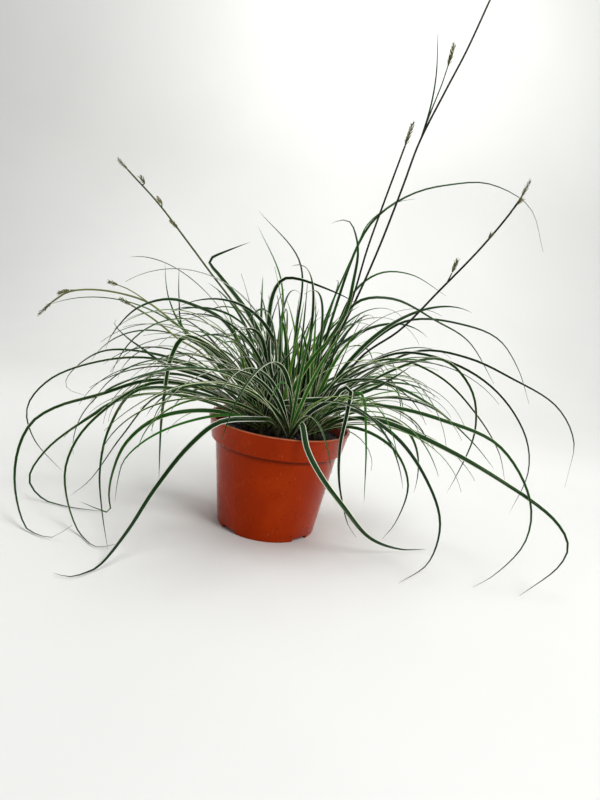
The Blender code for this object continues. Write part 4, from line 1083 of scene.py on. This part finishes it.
# Each stem: its root (mm), its depths (mm), its points, the tip of its end spike, its side stalks, each with
# its points and the tip of its spike, and the points of its leaf
SeenCulm = namedtuple("SeenCulm", "root depths seen tip stalks bract")
CULMS = (
    ((-10, 14), (20, 40), ((258, 340), (235, 305), (210, 272), (190, 245), (158, 203), (128, 170)),
     (117, 158), ((((144, 185), (144, 184)), (139, 175)), (((163, 209), (162, 205)), (156, 197)),
                  (((184, 237), (178, 229)), (170, 220))), None),
    ((-24, 12), (20, 30), ((200, 345), (165, 315), (145, 301), (100, 290), (68, 292), (52, 302)),
     (37, 316), ((((152, 306), (130, 290), (118, 285)), (107, 281)), (((78, 291), (70, 290)), (57, 294))),
     None),
    ((-26, 8), (20, 10), ((200, 352), (180, 340), (152, 318), (131, 305)), (119, 298), (), None),
    ((18, 12), (14, 24), ((352, 308), (378, 250), (403, 186), (419, 143), (447, 88), (466, 52), (490, 0),
                          (499, -19)),
     (508, -42), ((((419, 143), (432, 109), (442, 84), (448, 66)), (455, 41)),),
     ((419, 143), (430, 109), (436, 76), (438, 29))),
    ((12, 16), (18, 12), ((340, 330), (352, 300), (367, 250), (379, 216), (405, 146)), (414, 120), (), None),
    ((28, -4), (-6, -16), ((360, 358), (400, 330), (440, 290), (480, 249), (508, 216), (521, 198)),
     (531, 179), ((((510, 214), (517, 205)), (523, 198)), (((486, 244), (488, 240)), (492, 233)),
                  (((448, 283), (452, 273)), (458, 258))), None),
)


def unit(vector):
    return vector / np.linalg.norm(vector)


def nearest_on(route, point):
    """The point of a route that lies closest to another point."""
    fine = evenly(route, FINE_SAMPLES)
    return fine[np.linalg.norm(fine - np.array(point), axis=1).argmin()]


def spike_ends(route, seen_tip, depth):
    """A spike carries on from its stem's end, a hair's breadth off it, to where its tip is seen."""
    tip = np.array(seen_point(*seen_tip, depth))
    out = unit(route[-1] - route[-2])
    turn = math.sqrt(max(0.0, 1.0 - float(out @ unit(tip - route[-1])) ** 2))
    start = route[-1] + out * (SPIKE_GAP + turn * (SPIKE_RADIUS + SCALE_RADIUS) * SPIKE_FOOT)
    return start, tip + (start - route[-1])


def culm_parts(entry, foot):
    """Routes and thicknesses of a stem and its side stalks, and the start and end of each spike."""
    depths = [depth * MM for depth in entry.depths]
    collar = foot + Vector((0.0, 0.0, ROOT_DEPTH + CULM_STRAIGHT))
    neck = foot + Vector((0.0, 0.0, ROOT_DEPTH + CULM_NECK))
    stem = smooth_route([foot, collar, neck, *seen_route(entry.seen, depths)])
    tubes = [(stem, CULM_RADIUS, CULM_TIP_RADIUS)]
    spikes = [spike_ends(stem, entry.tip, depths[-1])]
    for stalk, tip in entry.stalks:
        start = nearest_on(stem, seen_point(*stalk[0], depths[-1]))
        points = [start, *(seen_point(*point, float(start[1]) - STALK_STAND_OFF) for point in stalk[1:])]
        route = smooth_route(points)
        tubes.append((route, STALK_RADIUS, STALK_TIP_RADIUS))
        spikes.append(spike_ends(route, tip, float(route[-1][1])))
    return tubes, spikes


def culm_bract(entry, stem):
    """The narrow leaf that stands at a stem's joint."""
    start = nearest_on(stem, seen_point(*entry.bract[0], entry.depths[-1] * MM))
    points = [start, *(seen_point(*point, float(start[1]) + STALK_STAND_OFF) for point in entry.bract[1:])]
    return Leaf(None, smooth_route(points), BRACT_WIDTH, 0.0, 0.0)


def foot_of(node):
    """The middle of a stem's foot, from its lowest corners."""
    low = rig.box(node)[0].z
    corners = [corner.co for corner in frame["nodes"][node].data.vertices if corner.co.z < low + LEVEL_WITHIN]
    return sum(corners, Vector()) / len(corners)


def add_stem(bm, route, thick, thin):
    """One stem: a grid wrapped round its route, three-cornered, and closed at both ends."""
    length = np.linalg.norm(np.diff(route, axis=0), axis=1).sum()
    steps = max(3, int(length / STEM_STEP))
    run = evenly(np.hstack([route, *frames(route)]), steps + 1)
    grid = bmesh.ops.create_grid(bm, x_segments=STEM_SIDES, y_segments=steps, size=0.5)["verts"]
    for vertex in grid:
        turn = math.tau * (vertex.co.x + 0.5)
        along = vertex.co.y + 0.5
        middle, side, up = np.split(run[int(round(along * steps))], 3)
        radius = (thick + (thin - thick) * along) * (1.0 + STEM_CORNERS * math.cos(3.0 * turn))
        point = middle + radius * (side * math.cos(turn) + up * math.sin(turn))
        vertex.co = np.clip(point, cad_low, cad_high)
    bmesh.ops.remove_doubles(bm, verts=grid, dist=MERGE_WITHIN)
    ends = [edge for edge in bm.edges if edge.is_boundary]
    bmesh.ops.holes_fill(bm, edges=ends, sides=0)
    bmesh.ops.recalc_face_normals(bm, faces=bm.faces)


def stem_skin():
    """A sedge's stem: smooth, nearly black when old and olive when young, finely ribbed."""
    stem = new_finish("sedge_stem", Specular_IOR_Level=0.3)
    node = partial(add_node, stem)
    place = node("TexCoord", out="Object")
    patch = node("TexNoise", {"Vector": place, "Scale": 1 / (17 * MM), "Detail": 3.0})
    shift = node("Math", (patch, 0.3, -0.15), operation="MULTIPLY_ADD")
    tone = node("Attribute", attribute_name="tone", out="Fac")
    youth = node("Math", (tone, shift), operation="ADD", use_clamp=True)
    stretched = node("Mapping", {"Vector": place, "Scale": (1.0, 1.0, 0.05)})
    rib = node("TexNoise", {"Vector": stretched, "Scale": 1 / (0.4 * MM)})
    dress(stem, Base_Color=node("ValToRGB", (youth,), stops=((0.0, "070a05"), (0.5, "34400f"),
                                                             (1.0, "7a8446"))),
          Roughness=node("Math", (patch, 0.3, 0.3), operation="MULTIPLY_ADD"),
          Normal=node("Bump", {"Height": rib, "Strength": 0.3, "Distance": 0.08 * MM}))
    return stem


stem_material = stem_skin()
spike_runs = {}
for i, row in enumerate(CULMS):
    entry = SeenCulm(*row)
    node = f"culm_{i + 1}"
    tubes, spikes = culm_parts(entry, foot_of(node))
    for letter, ends in zip("abcdef", spikes):
        spike_runs[f"spike_{i + 1}{letter}"] = ends
    stem_mesh = bmesh.new()
    layers = value_layers(stem_mesh, BLADE_LAYERS)
    for tube in tubes:
        add_stem(stem_mesh, *tube)
    for vertex in stem_mesh.verts:
        vertex[layers["tone"]] = STEM_YOUTH[i]
    if entry.bract:
        add_blade(stem_mesh, layers, culm_bract(entry, tubes[0][0]), random.Random(i), slot=1)
    stem = add_piece("stem_of_" + node, stem_mesh, stem_material, blade_material)
    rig.ride(stem, "root")
    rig.replaces(stem, node)
    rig.slot(stem, "stem")


# Spikes
# Small flower spikes of overlapping, pointed, papery scales, set on a spiral round a thin core.
# The scales are olive to tan with a green keel and chestnut tips, and fine pale hairs stand out between.

SCALE_LAYERS = ("share", "tone", "across")
SCALES_PER_MM = 1.25
SCALE_HALF_LENGTH = 1.9 * MM
SCALE_HALF_WIDTH = 0.95 * MM
SCALE_HALF_DEPTH = 0.4 * MM
SCALE_TAPER = 0.8
SCALE_FLARE_DEG = (14.0, 34.0)
SCALES_FROM = 0.02
SCALES_TO = 0.9
CORE_SHARE = 0.55
END_SPIKE_GIRTH = 0.7
LEAST_GIRTH = 0.45
TIP_GIRTH = 0.35
TIP_FROM = 0.95
FULLEST_EARLY = 0.18
FULLEST_LATE = 0.86
SCALE_FOOT_WIDTH = 1.1
SPIKE_SEED = 300
HAIRS_PER_MM = 0.3
HAIR_LENGTH = 1.9 * MM
HAIR_RADIUS = 0.09 * MM
HAIR_FLARE_DEG = 38.0
HAIRS_FROM_TO = (0.1, 0.8)
HAIR_ROOT = 0.6
HAIR_TONE = -1.0


def girth(share):
    """How full a spike is along its run: slim at its foot, fullest below the middle, then tapering."""
    if share >= TIP_FROM:
        return TIP_GIRTH
    swell = math.sin(math.pi * min(1.0, FULLEST_EARLY + FULLEST_LATE * share))
    return LEAST_GIRTH + (1.0 - LEAST_GIRTH) * swell


def add_scales(bm, layers, length, size, draw):
    """The scales of an upright spike, each a pointed lens that leans outwards."""
    count = int(SCALES_PER_MM * length / MM)
    for i in range(count):
        share = SCALES_FROM + (SCALES_TO - SCALES_FROM) * i / count
        scale = bmesh.ops.create_uvsphere(bm, u_segments=6, v_segments=4, radius=1.0)["verts"]
        tone = draw.random()
        for vertex in scale:
            up = (vertex.co.z + 1.0) / 2.0
            narrowing = SCALE_FOOT_WIDTH - SCALE_TAPER * up
            vertex.co.x *= SCALE_HALF_DEPTH * narrowing
            vertex.co.y *= SCALE_HALF_WIDTH * narrowing
            vertex.co.z = up * 2.0 * SCALE_HALF_LENGTH
            vertex[layers["share"]] = up
            vertex[layers["tone"]] = tone
            vertex[layers["across"]] = abs(vertex.co.y) / SCALE_HALF_WIDTH
        flare = Matrix.Rotation(math.radians(draw.uniform(*SCALE_FLARE_DEG)), 3, "Y")
        out = SPIKE_RADIUS * CORE_SHARE * size * girth(share)
        height = share * (length - SCALE_HALF_LENGTH)
        bmesh.ops.scale(bm, vec=(size, size, 1.0), verts=scale)
        bmesh.ops.rotate(bm, matrix=flare, verts=scale)
        bmesh.ops.translate(bm, vec=(out, 0.0, height), verts=scale)
        bmesh.ops.rotate(bm, matrix=Matrix.Rotation(i * GOLDEN_ANGLE, 3, "Z"), verts=scale)


def add_core_and_hairs(bm, layers, length, size, draw):
    """The spike's thin core, and the fine pale hairs that stand out from it."""
    core = bmesh.ops.create_cone(bm, cap_ends=True, segments=8, radius1=SPIKE_RADIUS * CORE_SHARE * size,
                                 radius2=0.1 * MM, depth=length)["verts"]
    bmesh.ops.translate(bm, vec=(0.0, 0.0, length / 2), verts=core)
    lean = Matrix.Rotation(math.radians(HAIR_FLARE_DEG), 3, "Y")
    for _ in range(int(HAIRS_PER_MM * length / MM)):
        hair = bmesh.ops.create_cone(bm, segments=3, radius1=HAIR_RADIUS, radius2=0.0, cap_ends=True,
                                     depth=HAIR_LENGTH)["verts"]
        bmesh.ops.translate(bm, vec=(0.0, 0.0, HAIR_LENGTH / 2), verts=hair)
        bmesh.ops.rotate(bm, matrix=lean, verts=hair)
        height = length * draw.uniform(*HAIRS_FROM_TO)
        bmesh.ops.translate(bm, vec=(SPIKE_RADIUS * HAIR_ROOT, 0.0, height), verts=hair)
        round_turn = Matrix.Rotation(draw.uniform(0.0, math.tau), 3, "Z")
        bmesh.ops.rotate(bm, matrix=round_turn, verts=hair)
        for vertex in hair:
            vertex[layers["tone"]] = HAIR_TONE


def spike_scales():
    """Dry, papery scales: olive to tan with a green keel and chestnut tips, and straw-pale hairs between."""
    scales = new_finish("papery_spike_scales", Roughness=0.62)
    node = partial(add_node, scales)
    share, tone, across = (node("Attribute", attribute_name=name, out="Fac") for name in SCALE_LAYERS)
    colour = node("ValToRGB", (tone,), stops=((0.0, "3a3a14"), (0.5, "5c5824"), (1.0, "8a7f40")))
    keel = node("MapRange", {"Value": across, "From Min": 0.3, "From Max": 0.0, "To Max": 0.6})
    colour = node("Mix", {0: keel, 6: colour, 7: "55702a"}, **COLOUR_MIX)
    tip = node("MapRange", {"Value": share, "From Min": 0.55, "From Max": 1.0, "To Max": 0.6})
    colour = node("Mix", {0: tip, 6: colour, 7: "4a2a12"}, **COLOUR_MIX)
    hair = node("Math", (tone, HAIR_TONE / 2), operation="LESS_THAN")
    grain = node("TexNoise", {"Vector": node("TexCoord", out="Object"), "Scale": 1 / (0.4 * MM),
                              "Detail": 2.0})
    dress(scales, Base_Color=node("Mix", {0: hair, 6: colour, 7: "9a8c58"}, **COLOUR_MIX),
          Normal=node("Bump", {"Height": grain, "Strength": 0.3, "Distance": 0.08 * MM}))
    return scales


scale_material = spike_scales()
for number, (node, (start, end)) in enumerate(sorted(spike_runs.items())):
    spike_draw = random.Random(SPIKE_SEED + number)
    spike_mesh = bmesh.new()
    layers = value_layers(spike_mesh, SCALE_LAYERS)
    size = END_SPIKE_GIRTH if node.endswith("a") and node[:-1] + "b" in spike_runs else 1.0
    axis = Vector(end) - Vector(start)
    add_scales(spike_mesh, layers, axis.length, size, spike_draw)
    add_core_and_hairs(spike_mesh, layers, axis.length, size, spike_draw)
    # The spike is made upright, then turned to its stem and moved to it
    corners = list(spike_mesh.verts)
    bmesh.ops.rotate(spike_mesh, matrix=axis.to_track_quat("Z", "Y").to_matrix(), verts=corners)
    bmesh.ops.translate(spike_mesh, vec=start, verts=corners)
    for vertex in corners:
        vertex.co = np.clip(vertex.co, cad_low, cad_high)
    spike = add_piece("scales_of_" + node, spike_mesh, scale_material)
    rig.ride(spike, "root")
    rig.replaces(spike, node)
    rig.slot(spike, "spike")


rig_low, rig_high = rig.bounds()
with open(SIZE_FILE, "w") as out:
    json.dump({"cad": [list(cad_low), list(cad_high)], "visual": [list(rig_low), list(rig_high)]}, out)
